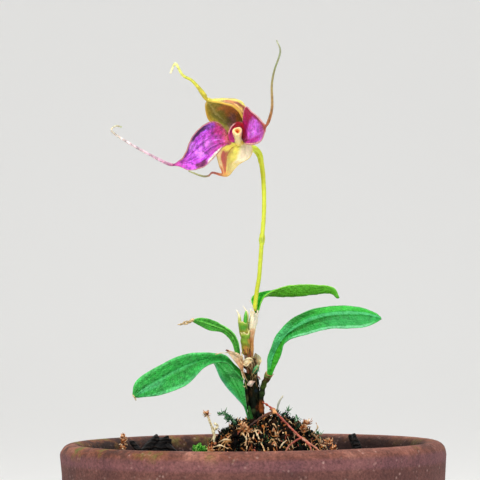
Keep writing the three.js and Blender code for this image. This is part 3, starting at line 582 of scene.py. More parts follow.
def body_traits(rings, seed):
    """For each point its share of the way round, its share of the way along, and one random number for each
    body."""
    bodies, rows, sides, _ = rings.shape
    lot = np.random.default_rng(seed).random(bodies)
    shape = (bodies, rows, sides)
    return np.stack([
        np.broadcast_to(np.arange(sides) / sides, shape),
        np.broadcast_to(np.linspace(0, 1, rows)[:, None], shape),
        np.broadcast_to(lot[:, None, None], shape),
    ], -1)


def inner_radius(z):
    """Radius of the pot's inner wall at a height."""
    share = (z - FLOOR_THICKNESS) / (POT_HEIGHT - LIP_RADIUS - FLOOR_THICKNESS)
    return INNER_FLOOR_RADIUS + (RIM_RADIUS - WALL_TOP - INNER_FLOOR_RADIUS) * share


def bark_bed(sides=160):
    """The filling under the loose chips: its wall follows the pot and its top is rough."""
    low = FLOOR_THICKNESS + CLEARANCE
    wall = np.linspace(low, MIX_LEVEL - 0.6, 12)
    top = np.linspace(0.985, 0.02, 46) * (inner_radius(MIX_LEVEL) - 0.5)
    radius = np.concatenate([[0.5, 8], inner_radius(wall) - 0.6, top])
    height = np.concatenate([[low, low], wall, np.full(len(top), MIX_LEVEL - 0.5)])
    q = TURN * np.arange(sides) / sides
    ring = np.stack([radius[:, None] * np.cos(q), radius[:, None] * np.sin(q), height[:, None] + 0 * q], -1)
    rough = 0.35 * ripple(ring, 3.0, 21) + 0.25 * ripple(ring, 1.1, 22)
    top_start = 2 + len(wall)
    ring[top_start:, :, 2] += rough[top_start:]
    return skin(ring[None], body_traits(ring[None], 23))


def loose_chips(seed=31, count=520):
    """Chips strewn over the bed, clear of the moss mound and of the pot's wall."""
    draw = np.random.default_rng(seed)
    half = np.stack([draw.uniform(low, high, count) for low, high in CHIP_HALF_SIZES], 1)
    bearing = draw.uniform(0, TURN, count)
    reach = (inner_radius(MIX_LEVEL) - 0.7 - half[:, 0]) * np.sqrt(draw.random(count))
    level = MIX_LEVEL + draw.uniform(-0.6, 0.9, count)
    at = np.stack([reach * np.cos(bearing), reach * np.sin(bearing), level], 1)
    clear = np.linalg.norm(at[:, :2] - MOUND_CENTRE, axis=1) > MOUND_RADIUS - 0.5
    yaw, pitch, roll = draw.uniform(0, TURN, count), draw.normal(0, 0.28, count), draw.normal(0, 0.3, count)
    rings = chip_rings(at[clear], half[clear], yaw[clear], pitch[clear], roll[clear], seed)
    return skin(rings, body_traits(rings, seed))


# %% Large chips in view
STANDING_CHIPS = {
    "bark_chip_left_large": {"at": (-18, 2.2, 68), "half": (2.2, 1.7, 2.9), "degrees": (12, -10, 8)},
    "bark_chip_left_thin": {"at": (-22.1, -2.4, 68.3), "half": (3, 0.9, 0.55), "degrees": (10, 52, 0)},
    "bark_chip_left_leg": {"at": (-15.2, -2.2, 68), "half": (2.5, 0.9, 0.55), "degrees": (0, 46, 0)},
    "bark_chip_left_slab": {"at": (-20.6, 1.2, 69.2), "half": (2.7, 1.3, 0.7), "degrees": (6, -45, 0)},
    "bark_chip_right": {"at": (20.9, 8, 67.3), "half": (4.1, 1.3, 0.7), "degrees": (14, 70, 0)},
    "bark_chip_front": {"at": (7, -24, 66.3), "half": (3.6, 2.2, 1.2), "degrees": (25, 8, 6)},
    "bark_chip_back": {"at": (-8, 23, 66.5), "half": (3.9, 2.0, 1.4), "degrees": (-35, -7, -9)},
}


# %% Wet pine bark
def pine_bark():
    """Old wet bark: nearly black, with brown cork layers under a millimetre thick and a faint damp shine.
    Each chip's random number says how much of the light palette shows."""
    material, tree, shader, at, _, split = placed_finish("wet_pine_bark")
    layers = node(
        tree, "ShaderNodeTexWave",
        {"Vector": at, "Scale": 0.42 / MM, "Distortion": 7.0, "Detail": 3.0, "Detail Scale": 1.4},
        bands_direction="Z",
    ).outputs["Fac"]
    crumbs = node(
        tree, "ShaderNodeTexNoise", {"Vector": at, "Scale": 0.9 / MM, "Detail": 5.0, "Roughness": 0.7},
    ).outputs["Fac"]
    share = node(tree, "ShaderNodeMath", {0: layers, 1: crumbs}, operation="MULTIPLY").outputs[0]
    dark_stops = [(0.12, "#070607"), (0.36, "#100d0c"), (0.62, "#241a15")]
    light_stops = [(0.12, "#1d1512"), (0.36, "#3c2a20"), (0.62, "#6e4c37")]
    dark = node(tree, "ShaderNodeValToRGB", {"Fac": share}, stops=dark_stops).outputs["Color"]
    light = node(tree, "ShaderNodeValToRGB", {"Fac": share}, stops=light_stops).outputs["Color"]
    which = node(
        tree, "ShaderNodeMapRange", {"Value": split["Z"], "From Min": 0.6, "From Max": 0.95},
    ).outputs["Result"]
    bark = node(tree, "ShaderNodeMix", {0: which, 6: dark, 7: light}, data_type="RGBA").outputs[2]
    surfaced(tree, shader, bark, 0.7, 0.2)
    bumped(tree, shader, share, 0.35, 0.9)
    return material


bark = pine_bark()
piece("bark_bed", bark_bed(), bark, ["bark_mix"])
piece("bark_chips_loose", loose_chips(), bark)
for number, (chip_name, chip) in enumerate(STANDING_CHIPS.items()):
    yaw, pitch, roll = (np.array([math.radians(angle)]) for angle in chip["degrees"])
    chip_at, chip_half = np.array([chip["at"]]), np.array([chip["half"]])
    chip_body = chip_rings(chip_at, chip_half, yaw, pitch, roll, 50 + number, rows=22, sides=32)
    # One low number gives all the large chips the dark palette
    lots = body_traits(chip_body, 0)
    lots[..., 2] = 0.2
    stands_in_for = [] if chip_name == "bark_chip_left_slab" else [chip_name]
    piece(chip_name + "_split", skin(chip_body, lots), bark, stands_in_for)
print("bark triangles:", made_pieces["bark_bed"] + made_pieces["bark_chips_loose"])

# %% [markdown]
# ## The moss mound
# Round the foot of the plant lies a heap of dead moss, its own fine roots and crumbs of bark. What the eye
# reads is a tangle: bright strands that cross in front of dark gaps. So the heap is a nearly black core,
# which is partly rotted moss and partly painted shade for the gaps, over which two sets of strands wander,
# each with its own palette, with dead, dark and living moss leaves and crumbs among them. A strand is a walk
# over the mound whose heading turns a little at each step, while an arch lifts it off the surface.


# %% Mound surfaces
def mound_height(x, y):
    """Height of the mound over a place: the bark's level, and above it a dome to the power 0.7."""
    r = np.hypot(x - MOUND_CENTRE[0], y - MOUND_CENTRE[1])
    rise = np.clip(1 - (r / MOUND_RADIUS) ** 2, 0, 1)
    return MIX_LEVEL + (MOUND_TOP - MIX_LEVEL) * rise ** 0.7


def mound_core(rows=60, sides=120):
    """A dome 1.2 mm below the strands, with a rough face and a flat foot."""
    share = np.sin(np.linspace(0.02, 1, rows) * np.pi / 2)[::-1]
    q = TURN * np.arange(sides) / sides
    r = np.concatenate([[0.5], share * (MOUND_RADIUS - 0.7)])[:, None]
    x = MOUND_CENTRE[0] + r * np.cos(q)
    y = MOUND_CENTRE[1] + r * np.sin(q)
    z = mound_height(x, y) - 1.2
    z[0] = MIX_LEVEL - 0.1
    ring = np.stack([x, y, z], -1)
    rough = 0.45 * ripple(ring, 2.4, 41) + 0.3 * ripple(ring, 0.9, 42)
    ring[2:, :, 2] += rough[2:]
    ring[..., 2] = np.maximum(ring[..., 2], MIX_LEVEL - 0.1)
    return skin(ring[None], body_traits(ring[None], 43))


def wandering_strands(seed, count, lengths, radii, lift, spread=0.97, rows=12, sides=6):
    """Closed, tapering strands that wander over the mound. Each starts at a random place, its heading
    drifts by a random walk, and its height is that of the mound plus an arch of a random size."""
    draw = np.random.default_rng(seed)
    share = np.linspace(0, 1, rows)
    reach = spread * MOUND_RADIUS * np.sqrt(draw.random((count, 1)))
    bearing = draw.uniform(0, TURN, (count, 1))
    heading = draw.uniform(0, TURN, (count, 1)) + np.cumsum(draw.normal(0, 0.38, (count, rows)), 1)
    step = draw.uniform(*lengths, (count, 1)) / rows
    x = MOUND_CENTRE[0] + reach * np.cos(bearing) + np.cumsum(step * np.cos(heading), 1)
    y = MOUND_CENTRE[1] + reach * np.sin(bearing) + np.cumsum(step * np.sin(heading), 1)
    away = np.hypot(x - MOUND_CENTRE[0], y - MOUND_CENTRE[1])
    pull = np.minimum(1, (MOUND_RADIUS + 0.6) / np.maximum(away, 1e-6))
    x = MOUND_CENTRE[0] + (x - MOUND_CENTRE[0]) * pull
    y = MOUND_CENTRE[1] + (y - MOUND_CENTRE[1]) * pull
    arch = draw.uniform(-0.3, 1, (count, 1)) * lift * np.sin(np.pi * share)
    arch = arch + draw.uniform(-0.8, 0.1, (count, 1))
    z = np.maximum(mound_height(x, y) + arch, MIX_LEVEL + 0.2)
    z = z + 0.16 * np.cumsum(draw.normal(0, 0.5, (count, rows)), 1)
    z = np.maximum(z, MIX_LEVEL + 0.2)
    route = np.stack([x, y, z], -1)
    for _ in range(2):
        route[:, 1:-1] = (route[:, :-2] + 2 * route[:, 1:-1] + route[:, 2:]) / 4
    taper = 1 - 0.55 * share ** 2
    radius = draw.uniform(*radii, (count, 1)) * taper * (1 + 0.12 * draw.normal(size=(count, rows)))
    rings = stem_rings(route, radius, sides)
    return skin(rings, body_traits(rings, seed + 1))


def small_leaves(seed, feet, ways, lengths, widths, rows=5, sides=6):
    """Pointed moss leaves. Each runs from its foot along its own way, curves up or down a little, is widest
    in its first half and is flat across."""
    draw = np.random.default_rng(seed)
    count = len(feet)
    share = np.linspace(0, 1, rows)[None, :, None]
    length = draw.uniform(*lengths, (count, 1, 1))
    curl = draw.uniform(-0.25, 0.5, (count, 1, 1)) * length
    route = feet[:, None] + length * share * unit(ways)[:, None] + curl * share ** 2 * np.array([0, 0, 1.0])
    width = draw.uniform(*widths, (count, 1)) * (0.25 + 3.2 * share[0, :, 0] * (1 - share[0, :, 0]) ** 1.6)
    rings = stem_rings(route, width, sides, flat=0.3)
    return skin(rings, body_traits(rings, seed + 1))


def crumbs(seed, count, sizes, level, rows=6, sides=8):
    """Small lumps over the mound and round its foot."""
    draw = np.random.default_rng(seed)
    reach = MOUND_RADIUS * np.sqrt(draw.uniform(0.1, 1.15, count))
    bearing = draw.uniform(0, TURN, count)
    x = MOUND_CENTRE[0] + reach * np.cos(bearing)
    y = MOUND_CENTRE[1] + reach * np.sin(bearing)
    at = np.stack([x, y, mound_height(x, y) + draw.uniform(*level, count)], 1)
    half = draw.uniform(*sizes, (count, 1)) * draw.uniform(0.5, 1.2, (count, 3))
    turns = draw.uniform(0, TURN, (3, count))
    rings = chip_rings(at, half, *turns, seed + 1, rows, sides)
    return skin(rings, body_traits(rings, seed + 2))


def strewn_leaves(seed, count, lengths, widths, tufts=60):
    """Moss leaves in loose tufts over the mound, pointing out and up."""
    draw = np.random.default_rng(seed)
    reach = 0.98 * MOUND_RADIUS * np.sqrt(draw.random(tufts))
    bearing = draw.uniform(0, TURN, tufts)
    heart = MOUND_CENTRE + np.stack([reach * np.cos(bearing), reach * np.sin(bearing)], 1)
    which = draw.integers(0, tufts, count)
    foot = heart[which] + draw.normal(0, 0.5, (count, 2))
    height = mound_height(foot[:, 0], foot[:, 1]) + draw.uniform(-0.5, 0.7, count)
    feet = np.concatenate([foot, height[:, None]], 1)
    ways = draw.normal(size=(count, 3)) + np.array([0, 0, 0.5])
    return small_leaves(seed + 1, feet, ways, lengths, widths)


# %% Strand and crumb finishes
def strand_finish(name, stops, grain_mm=0.35, roughness=0.8):
    """Dry fibre. Each strand takes one colour of the palette by its random number, and a noise with the
    given grain darkens it in places."""
    material, tree, shader, at, _, split = placed_finish(name)
    grain = node(
        tree, "ShaderNodeTexNoise", {"Vector": at, "Scale": 1 / (grain_mm * MM), "Detail": 3.0},
    ).outputs["Fac"]
    picked = wavered(tree, split["Z"], grain, 0.2)
    hue = node(tree, "ShaderNodeValToRGB", {"Fac": picked}, stops=stops).outputs["Color"]
    surfaced(tree, shader, toned(tree, hue, grain, 0.3, 0.62, 0.45, 1.12), roughness, 0.06)
    bumped(tree, shader, grain, 0.12)
    return material


# Nearly black where it has rotted, chestnut and orange where it is dry, cream where it is bleached
# The core's near-black palette is partly the colour of rotted moss and partly painted shade in the gaps
# between strands
rotted_moss_and_gap_shade = strand_finish(
    "rotted_moss_and_gap_shade", [(0.0, "#070504"), (0.35, "#0f0a07"), (0.7, "#1d120a"), (1.0, "#2c1a0e")], 0.6)
dead_moss = strand_finish(
    "dead_moss_strands",
    [(0.0, "#040302"), (0.5, "#0e0806"), (0.62, "#2c180c"), (0.75, "#6e3c1c"), (0.87, "#b88048"),
     (1.0, "#e4c090")])
dry_roots = strand_finish(
    "dry_root_fibre",
    [(0.0, "#7c3c2c"), (0.22, "#bc7048"), (0.42, "#dcac7c"), (0.64, "#f2dcb0"), (0.82, "#c06858"),
     (1.0, "#8a4a3c")])
moss_green = strand_finish(
    "living_moss_leaves", [(0.0, "#14301a"), (0.4, "#2a5430"), (0.7, "#487848"), (1.0, "#7c9470")], 0.3)
moss_dark = strand_finish(
    "dark_wet_moss", [(0.0, "#080b09"), (0.5, "#121a15"), (0.8, "#26362a"), (1.0, "#4c6450")], 0.4)
crumb_tan = strand_finish(
    "tan_crumbs",
    [(0.0, "#5c2c16"), (0.28, "#b5662e"), (0.48, "#dc9c5c"), (0.7, "#f6e4bc"), (0.85, "#e09468"),
     (1.0, "#b06450")], 0.3)
crumb_dark = strand_finish(
    "rotted_crumbs", [(0.0, "#040303"), (0.5, "#0a0706"), (0.8, "#1c110a"), (1.0, "#2c1c12")], 0.4)

# %% [markdown]
# ## Filling the heap
# The real heap has grown for years: rotted moss at its heart, dead strands and fine roots over it, small
# leaves in tufts, and crumbs that have rolled down its front. Each layer is one piece with its own seed, so
# that its amount and its colour can be changed alone. Laying every crumb by hand would take long and look
# arranged.


# %% Heap of moss, roots and crumbs
def rim_line(seed, count, sizes, rows=6, sides=8):
    """Crumbs in a belt in front of the mound, heaped highest in its middle, which show just above the
    rim."""
    draw = np.random.default_rng(seed)
    x = draw.uniform(-9.5, 15.5, count)
    y = -draw.uniform(9.0, 14.5, count)
    z = MIX_LEVEL + 0.5 + draw.uniform(0, 3.2, count) * np.clip(1 - np.abs(x - 2) / 17, 0.25, 1)
    half = draw.uniform(*sizes, (count, 1)) * draw.uniform(0.4, 1.5, (count, 3))
    turns = draw.uniform(0, TURN, (3, count))
    rings = chip_rings(np.stack([x, y, z], 1), half, *turns, seed + 1, rows, sides)
    return skin(rings, body_traits(rings, seed + 2))


dead_strands = wandering_strands(61, 1200, (1.2, 4), (0.07, 0.2), 1.4, rows=9)
fine_roots = wandering_strands(67, 150, (1.2, 3.2), (0.08, 0.17), 1.3)
piece("mound_core", mound_core(), rotted_moss_and_gap_shade, ["moss_mound"])
for layer_name, layer, layer_finish, layer_slot in (
    ("mound_dead_moss", dead_strands, dead_moss, "dead_moss"),
    ("mound_fine_roots", fine_roots, dry_roots, "dead_moss"),
    ("mound_dead_leaves", strewn_leaves(71, 520, (0.5, 1.4), (0.12, 0.3), 70), crumb_tan, "dead_moss"),
    ("mound_dark_leaves", strewn_leaves(73, 700, (0.6, 1.5), (0.14, 0.3), 90), moss_dark, "dead_moss"),
    ("mound_green_leaves", strewn_leaves(77, 200, (0.6, 1.3), (0.1, 0.22), 14), moss_green, "green_moss"),
    ("mound_crumbs", crumbs(83, 150, (0.12, 0.34), (0.0, 0.9)), crumb_tan, "dead_moss"),
    ("mound_dark_crumbs", crumbs(89, 300, (0.3, 0.8), (-0.5, 0.4)), crumb_dark, "dead_moss"),
    ("rim_crumbs", rim_line(97, 330, (0.13, 0.36)), crumb_tan, "dead_moss"),
):
    piece(layer_name, layer, layer_finish)
print("mound pieces:", {name: made_pieces[name] for name in made_pieces if name.startswith("mound")})

# %% [markdown]
# ## Blades: leaves, petals and sheath scraps
# A leaf or petal is a sheet between a left edge and a right edge, bent over its midrib. The sheet is worked
# out on a grid: one parameter runs from the foot to the tip, the other from edge to edge. It then gets two
# faces, half its thickness out along the normals. Towards a tail the section turns from a thin blade into a
# round thread.


# %% Blade surface
def blade_lines(left, midrib, right, tail=(), tail_halves=(0.28, 0.18)):
    """The three lines of a blade, led on through its tail. The tail's side vector starts as that of the
    blade's tip and is made square to the way on at each of its points. Its half width runs through the
    keys."""
    lines = [[np.asarray(point, float) for point in line] for line in (left, midrib, right)]
    side = unit(lines[2][-1] - lines[0][-1])
    halves = np.interp(np.linspace(0, 1, len(tail)), np.linspace(0, 1, len(tail_halves)), tail_halves)
    for number, centre in enumerate(np.asarray(tail, float)):
        ahead = np.asarray(tail[min(number + 1, len(tail) - 1)], float)
        along = unit(ahead - lines[1][-1])
        side = unit(side - (side @ along) * along)
        for line, shift in zip(lines, (-halves[number], 0, halves[number])):
            line.append(centre + shift * side)
    return lines


def blade(
    left, midrib, right, tail=(), crease=0.0, rows_per_step=14, columns=37, half_thick=0.14, bead=0.0,
    facing=(0, -1, 0), relief=None, tail_halves=(0.28, 0.18), round_half=0.3,
):
    """A closed blade with its traits: the place from edge to edge (-1 to 1), the place along it (0 to 1 on
    the blade and 1 to 2 on its tail), and +1 on the face that looks along facing or -1 on the other. relief
    is a function of those places that moves the sheet along its normal, in millimetres."""
    lines = blade_lines(left, midrib, right, tail, tail_halves)
    steps = len(lines[1]) - 1
    share = np.linspace(0, 1, rows_per_step * steps + 1)
    l, m, r = (smooth_line(line, share)[:, None] for line in lines)
    t = np.sin(np.linspace(-1, 1, columns) * np.pi / 2)
    keel = (np.sqrt(t * t + 0.01) - 0.1) / (math.sqrt(1.01) - 0.1)
    bend = ((1 - crease) * t * t + crease * keel)[None, :, None]
    sheet = m + (r - l) / 2 * t[None, :, None] + ((l + r) / 2 - m) * bend
    blade_steps = len(midrib) - 1
    key = share * steps
    along = np.where(key <= blade_steps, key / blade_steps, 1 + (key - blade_steps) / max(1, len(tail)))
    width = np.linalg.norm(r - l, axis=-1) / 2
    flatness = ease(0.32, 1.1, width)

    def normals():
        return unit(np.cross(np.gradient(sheet, axis=0), np.gradient(sheet, axis=1)))

    if relief is not None:
        heights = relief(t[None, :], along[:, None], sheet) * flatness
        sheet = sheet + heights[..., None] * normals()
    normal = normals()
    thread = np.minimum(width, round_half) * np.sqrt(np.maximum(1 - t * t, 0.01))[None, :]
    beads = bead * np.exp(-(((np.abs(t) - 0.97) / 0.025) ** 2))
    thin = (half_thick * (1 - 0.55 * t ** 8) + beads)[None, :]
    thick = (flatness * thin + (1 - flatness) * thread)[..., None]
    upper = sheet + thick * normal
    lower = sheet - thick * normal
    front = np.sign((normal * np.asarray(facing, float)).sum(-1).mean()) or 1.0
    rings = np.concatenate([upper, lower[:, ::-1]], 1)[None]
    flat, far = np.broadcast_arrays(t[None, :], along[:, None])
    over = np.stack([flat, far, np.full(flat.shape, front)], -1)
    under = np.stack([flat, far, np.full(flat.shape, -front)], -1)
    return skin(rings, np.concatenate([over, under[:, ::-1]], 1)[None])


# %% [markdown]
# ## Leaves
# The leaves are leathery and smooth. A groove marks the midrib, faint lengthwise veins run beside it, and
# the gloss comes from a thin wax. Each is a blade with a relief: a narrow groove, faint veins, a slight
# wave that grows towards the edges, and a fine unevenness. Light and dark bands of colour are painted light
# and shade for the folds that the real leaves have, and pale bluish bands along some midribs and edges are
# painted highlights.

# %% Leaf outlines
LEAVES = {
    "leaf_left_broad": {
        "left": [
            (-2.1, -1.6, 83.9), (-3.7, -2.3, 85.6), (-5.5, -3.1, 87.2), (-9.4, -4.6, 87.7),
            (-13.9, -6.5, 87.3),
            (-18.1, -8.2, 85.4), (-22.3, -9.7, 82.8), (-23.3, -10.3, 80.1),
        ],
        "midrib": [
            (-1.9, -1.4, 83.0), (-3.5, -2.1, 84.7), (-5.5, -2.6, 86.3), (-9.5, -4.3, 86.4),
            (-13.9, -6.7, 84.8),
            (-18.1, -8.7, 82.7), (-21.4, -10, 80.9), (-22.8, -10.4, 79.5),
        ],
        "right": [
            (-1.7, -1.7, 82.2), (-3.3, -2.5, 84), (-5.5, -3.3, 85.8), (-9.2, -4.8, 84.9), (-12.8, -7.5, 81.6),
            (-17.7, -9.4, 79.8), (-21.2, -10.4, 79.5), (-22.7, -10.5, 79.4),
        ],
        "tail": [(-22.75, -10.5, 79.2), (-22.6, -10.55, 78.75)],
    },
    "leaf_left_low": {
        "left": [
            (-0.9, -2, 74.2), (-1.5, -2.1, 76.3), (-1.95, -2.2, 77.3), (-3.1, -1.9, 78.6),
            (-4.8, -0.6, 80.45), (-6.36, 1.2, 82.6), (-7.4, 3.1, 85.1), (-8.3, 4.5, 86.5),
        ],
        "midrib": [
            (-0.75, -1.9, 74.2), (-1.3, -2, 76.4), (-1.6, -2.1, 77.6), (-2.3, -1.9, 79.3),
            (-3.3, -1, 81.2), (-4.8, 0.9, 83.3), (-6.5, 3.1, 85.2), (-8.1, 4.6, 86.5),
        ],
        "right": [
            (-0.6, -2, 74.2), (-1.1, -2.1, 76.3), (-1.25, -2.3, 77.4), (-1.4, -2.3, 79),
            (-1.65, -1.5, 81), (-2.2, -0.4, 83), (-4.2, 1.9, 85.5), (-7.9, 4.5, 86.6),
        ],
    },
    "leaf_left_upper": {
        "left": [
            (-3.1, -0.4, 86.5), (-4, -1.6, 89.6), (-5.7, -2.7, 91.5), (-8.4, -4.1, 92.1),
            (-10.5, -5.5, 93.2), (-11.6, -6.1, 93.8),
        ],
        "midrib": [
            (-2.7, -0.4, 86.6), (-3.4, -1.2, 89.8), (-4.8, -2.3, 91.9), (-7.7, -3.8, 93.1),
            (-10.1, -5.3, 93.9), (-11.5, -6.1, 94.1),
        ],
        "right": [
            (-2.3, -0.4, 86.6), (-2.7, -1.6, 89.7), (-4, -2.7, 91.8), (-7.1, -4.1, 93.7),
            (-9.7, -5.5, 94.5), (-11.4, -6.1, 94.3),
        ],
    },
    "leaf_right_large": {
        "left": [
            (2.8, -1.8, 83.1), (3.3, -2.8, 87.1), (4.9, -3.8, 91.1), (7.8, -4.4, 94.2), (11.9, -5.1, 96),
            (16.5, -6, 96.7), (20.8, -7, 96.4), (23.7, -7.9, 95.4), (25, -8.2, 94.5),
        ],
        "midrib": [
            (3.3, -1.5, 83), (4.1, -2, 87), (6.2, -3, 90.6), (9.3, -4.4, 93), (12.9, -5.5, 94.5),
            (17, -6.4, 95.1), (21.2, -7.3, 95.1), (24, -8, 94.6), (25.1, -8.3, 94.2),
        ],
        "right": [
            (3.8, -1.8, 83.1), (5.5, -2.9, 87.1), (6.6, -3.9, 89.7), (10.7, -5.2, 91.1), (15, -6.4, 92.2),
            (18.8, -7.4, 92.3), (22.2, -8.1, 92.6), (24.3, -8.4, 93.5), (25, -8.4, 94),
        ],
    },
    "leaf_right_top": {
        "left": [
            (0.75, 0.2, 95.2), (-0.1, 1, 98), (1.2, 1.8, 99.2), (4.4, 2.4, 99.8), (8.7, 2, 100.4),
            (13, 1.1, 100.4), (15.8, 0, 99.8), (17, -1.4, 98.3),
        ],
        "midrib": [
            (0.95, 0.3, 95.1), (1.2, 1.8, 97.8), (2.4, 1.9, 98.5), (5.2, 1.3, 98.5), (9.2, 0.5, 98.5),
            (13.2, -0.2, 99), (15.7, -0.9, 99), (17, -1.5, 98.1),
        ],
        "right": [
            (1.15, 0.1, 95.2), (2.1, 0.5, 97.8), (3.4, 0.1, 99), (5.8, -0.6, 100.3), (9.2, -1.3, 100.8),
            (13.3, -1.7, 100.7), (16.1, -1.7, 100.1), (17.2, -1.6, 98.2),
        ],
    },
}


# %% Leaf relief
def leaf_relief(seed, groove=0.22, wave=0.28):
    """The height of a leaf's face: a groove 0.1 wide along the midrib, veins as cosines across each half, a
    wave about 6 mm long that grows towards the edges, and a fine unevenness."""
    def relief(t, along, sheet):
        trough = -groove * np.exp(-((t / 0.1) ** 2)) * ease(0, 0.12, along)
        veins = 0.03 * np.cos(t * 30) * (1 - t ** 2)
        edges = wave * ripple(sheet, 6.5, seed) * np.abs(t) ** 3
        uneven = 0.07 * ripple(sheet, 2.6, seed + 1) + 0.03 * ripple(sheet, 0.9, seed + 2)
        return trough + veins + edges + uneven
    return relief


# %% Leaf finish
def leathery_leaf(name, face_stops, under, rib, edge, zones, tip="#c9b98a", tip_from=1.0, mottle=0.4):
    """Waxy leaf tissue. The colour runs from edge to edge over the face in faint lengthwise bands, which are
    painted light and shade for the leaf's folds, and two noises mottle it. The rib, the edge and the tip have
    colours of their own. A zone is a band of colour: its hex, its strength, its middle, half width and
    softness from edge to edge (-1 to 1), and the same along the blade (0 to 1); some zones are painted
    highlights. Cells about 0.35 mm wide break up the gloss."""
    material, tree, shader, at, place, split = placed_finish(name)
    stretched = node(tree, "ShaderNodeVectorMath", {0: place, 1: (9.0, 2.2, 1.0)}, operation="MULTIPLY")
    streaks = node(
        tree, "ShaderNodeTexNoise",
        {"Vector": stretched.outputs["Vector"], "Scale": 1.0, "Detail": 5.0, "Roughness": 0.6},
    ).outputs["Fac"]
    across = node(
        tree, "ShaderNodeMapRange", {"Value": split["X"], "From Min": -1.0, "From Max": 1.0},
    ).outputs["Result"]
    picked = wavered(tree, across, streaks, 0.16)
    hue = node(tree, "ShaderNodeValToRGB", {"Fac": picked}, stops=face_stops).outputs["Color"]
    behind = node(
        tree, "ShaderNodeMapRange", {"Value": split["Z"], "From Min": 0.2, "From Max": -0.2},
    ).outputs["Result"]
    off_middle = node(tree, "ShaderNodeMath", {0: split["X"]}, operation="ABSOLUTE").outputs[0]
    hue = layered(tree, hue, [(behind, under), (window(tree, off_middle, 0, 0.02, 0.05, 0.5), rib)])
    hue = banded(tree, hue, split["X"], split["Y"], zones)
    for source, low, high, hex_colour, amount in (
        (off_middle, 0.965, 0.99, edge, 0.6), (split["Y"], tip_from, tip_from + 0.06, tip, 1.0),
    ):
        share = node(
            tree, "ShaderNodeMapRange",
            {"Value": source, "From Min": low, "From Max": high, "To Max": amount},
            interpolation_type="SMOOTHSTEP",
        ).outputs["Result"]
        hue = layered(tree, hue, [(share, hex_colour)])
    blotch = node(
        tree, "ShaderNodeTexNoise", {"Vector": at, "Scale": 1 / (0.9 * MM), "Detail": 5.0, "Roughness": 0.65},
    ).outputs["Fac"]
    surfaced(tree, shader, toned(tree, hue, blotch, 0.32, 0.68, 1 - mottle, 1 + mottle), 0.46, 0.3)
    cells = node(tree, "ShaderNodeTexVoronoi", {"Vector": at, "Scale": 1 / (0.35 * MM)})
    fine = node(tree, "ShaderNodeTexNoise", {"Vector": at, "Scale": 1 / (0.7 * MM), "Detail": 3.0})
    grain = node(
        tree, "ShaderNodeMath", {0: fine.outputs["Fac"], 1: 1.6, 2: cells.outputs["Distance"]},
        operation="MULTIPLY_ADD")
    bumped(tree, shader, grain.outputs[0], 0.17, 0.9)
    return material


RICH_GREEN = [
    (0.0, "#2a9c3c"), (0.2, "#1f9632"), (0.42, "#229a3a"), (0.6, "#1a8a2c"), (0.8, "#259a3c"),
    (1.0, "#2ca244"),
]
LIME_GREEN = [(0.0, "#50dc34"), (0.3, "#34bc26"), (0.5, "#78ec50"), (0.7, "#3abc2a"), (1.0, "#74e456")]
broad_leaf = leathery_leaf(
    "waxy_broad_leaf", RICH_GREEN, "#3f8a2e", "#44ac64", "#5cc068",
    [
        # The first four zones are painted highlights: pale bands along the midrib, near the tip and along
        # both edges
        ("#46b064", 0.5, (0.02, 0.06, 0.14), (0.58, 0.32, 0.12)),
        ("#46b070", 0.5, (0.26, 0.1, 0.2), (0.82, 0.07, 0.1)),
        ("#4cc060", 0.8, (-0.92, 0.06, 0.14), (0.6, 0.3, 0.12)),
        ("#58c474", 0.85, (0.93, 0.05, 0.1), (0.74, 0.2, 0.14)),
        ("#0f7420", 0.4, (-0.24, 0.06, 0.12), (0.66, 0.26, 0.14)),
        ("#1a7a0e", 0.85, (-0.1, 0.7, 0.3), (0.06, 0.1, 0.12)),
    ])
long_leaf = leathery_leaf(
    "waxy_long_leaf", RICH_GREEN, "#3f8a2e", "#54c07c", "#54b860",
    [
        # Painted highlights: the pale band along the midrib (#40ac64), the pale strip along the lower edge
        # (#74cc90) and the pale face of the folded foot (#54c878)
        ("#40ac64", 0.8, (-0.05, 0.05, 0.16), (0.5, 0.4, 0.14)),
        ("#0a6c12", 0.9, (0.26, 0.08, 0.16), (0.38, 0.18, 0.14)),
        ("#146c14", 0.75, (-0.72, 0.2, 0.2), (0.5, 0.12, 0.1)),
        ("#2c9a50", 0.5, (0.5, 0.2, 0.2), (0.72, 0.14, 0.12)),
        ("#3cc440", 0.7, (-0.6, 0.2, 0.2), (0.76, 0.2, 0.12)),
        ("#74cc90", 0.9, (0.93, 0.05, 0.09), (0.54, 0.2, 0.12)),
        ("#54c878", 0.8, (-0.55, 0.3, 0.25), (0.18, 0.09, 0.1)),
        ("#34a01a", 0.9, (0.62, 0.3, 0.16), (0.06, 0.15, 0.06)),
        ("#0e5c12", 0.85, (0.14, 0.05, 0.1), (0.16, 0.13, 0.08)),
        ("#2ca010", 0.85, (0.0, 1.0, 0.1), (0.0, 0.02, 0.06)),
    ], mottle=0.22)
pale_tip_leaf = leathery_leaf(
    "waxy_leaf_dry_tip", LIME_GREEN, "#3f9a2e", "#7cdc58", "#7cd05c",
    [("#1f7a18", 0.85, (0.6, 0.4, 0.4), (0.0, 0.1, 0.14))], "#c9b080", 0.97)
low_leaf = leathery_leaf(
    "waxy_low_leaf",
    # The pale bluish first stop is a painted highlight along the left edge
    [(0.0, "#56b488"), (0.1, "#2c9a50"), (0.3, "#249638"), (0.6, "#229034"), (0.8, "#2a9a3c"),
     (1.0, "#208230")],
    "#2c7a30", "#2c9a3c", "#6aae78", [("#2c7a24", 0.85, (0.6, 0.4, 0.4), (0.0, 0.1, 0.14))], mottle=0.14)
high_leaf = leathery_leaf(
    "waxy_top_leaf", [(0.0, "#22a41c"), (0.5, "#2cb424"), (1.0, "#3cbc2c")], "#4fa420", "#3faa1c",
    "#8fd03c", [("#34b424", 0.85, (0.6, 0.4, 0.4), (0.0, 0.1, 0.14))], mottle=0.2)

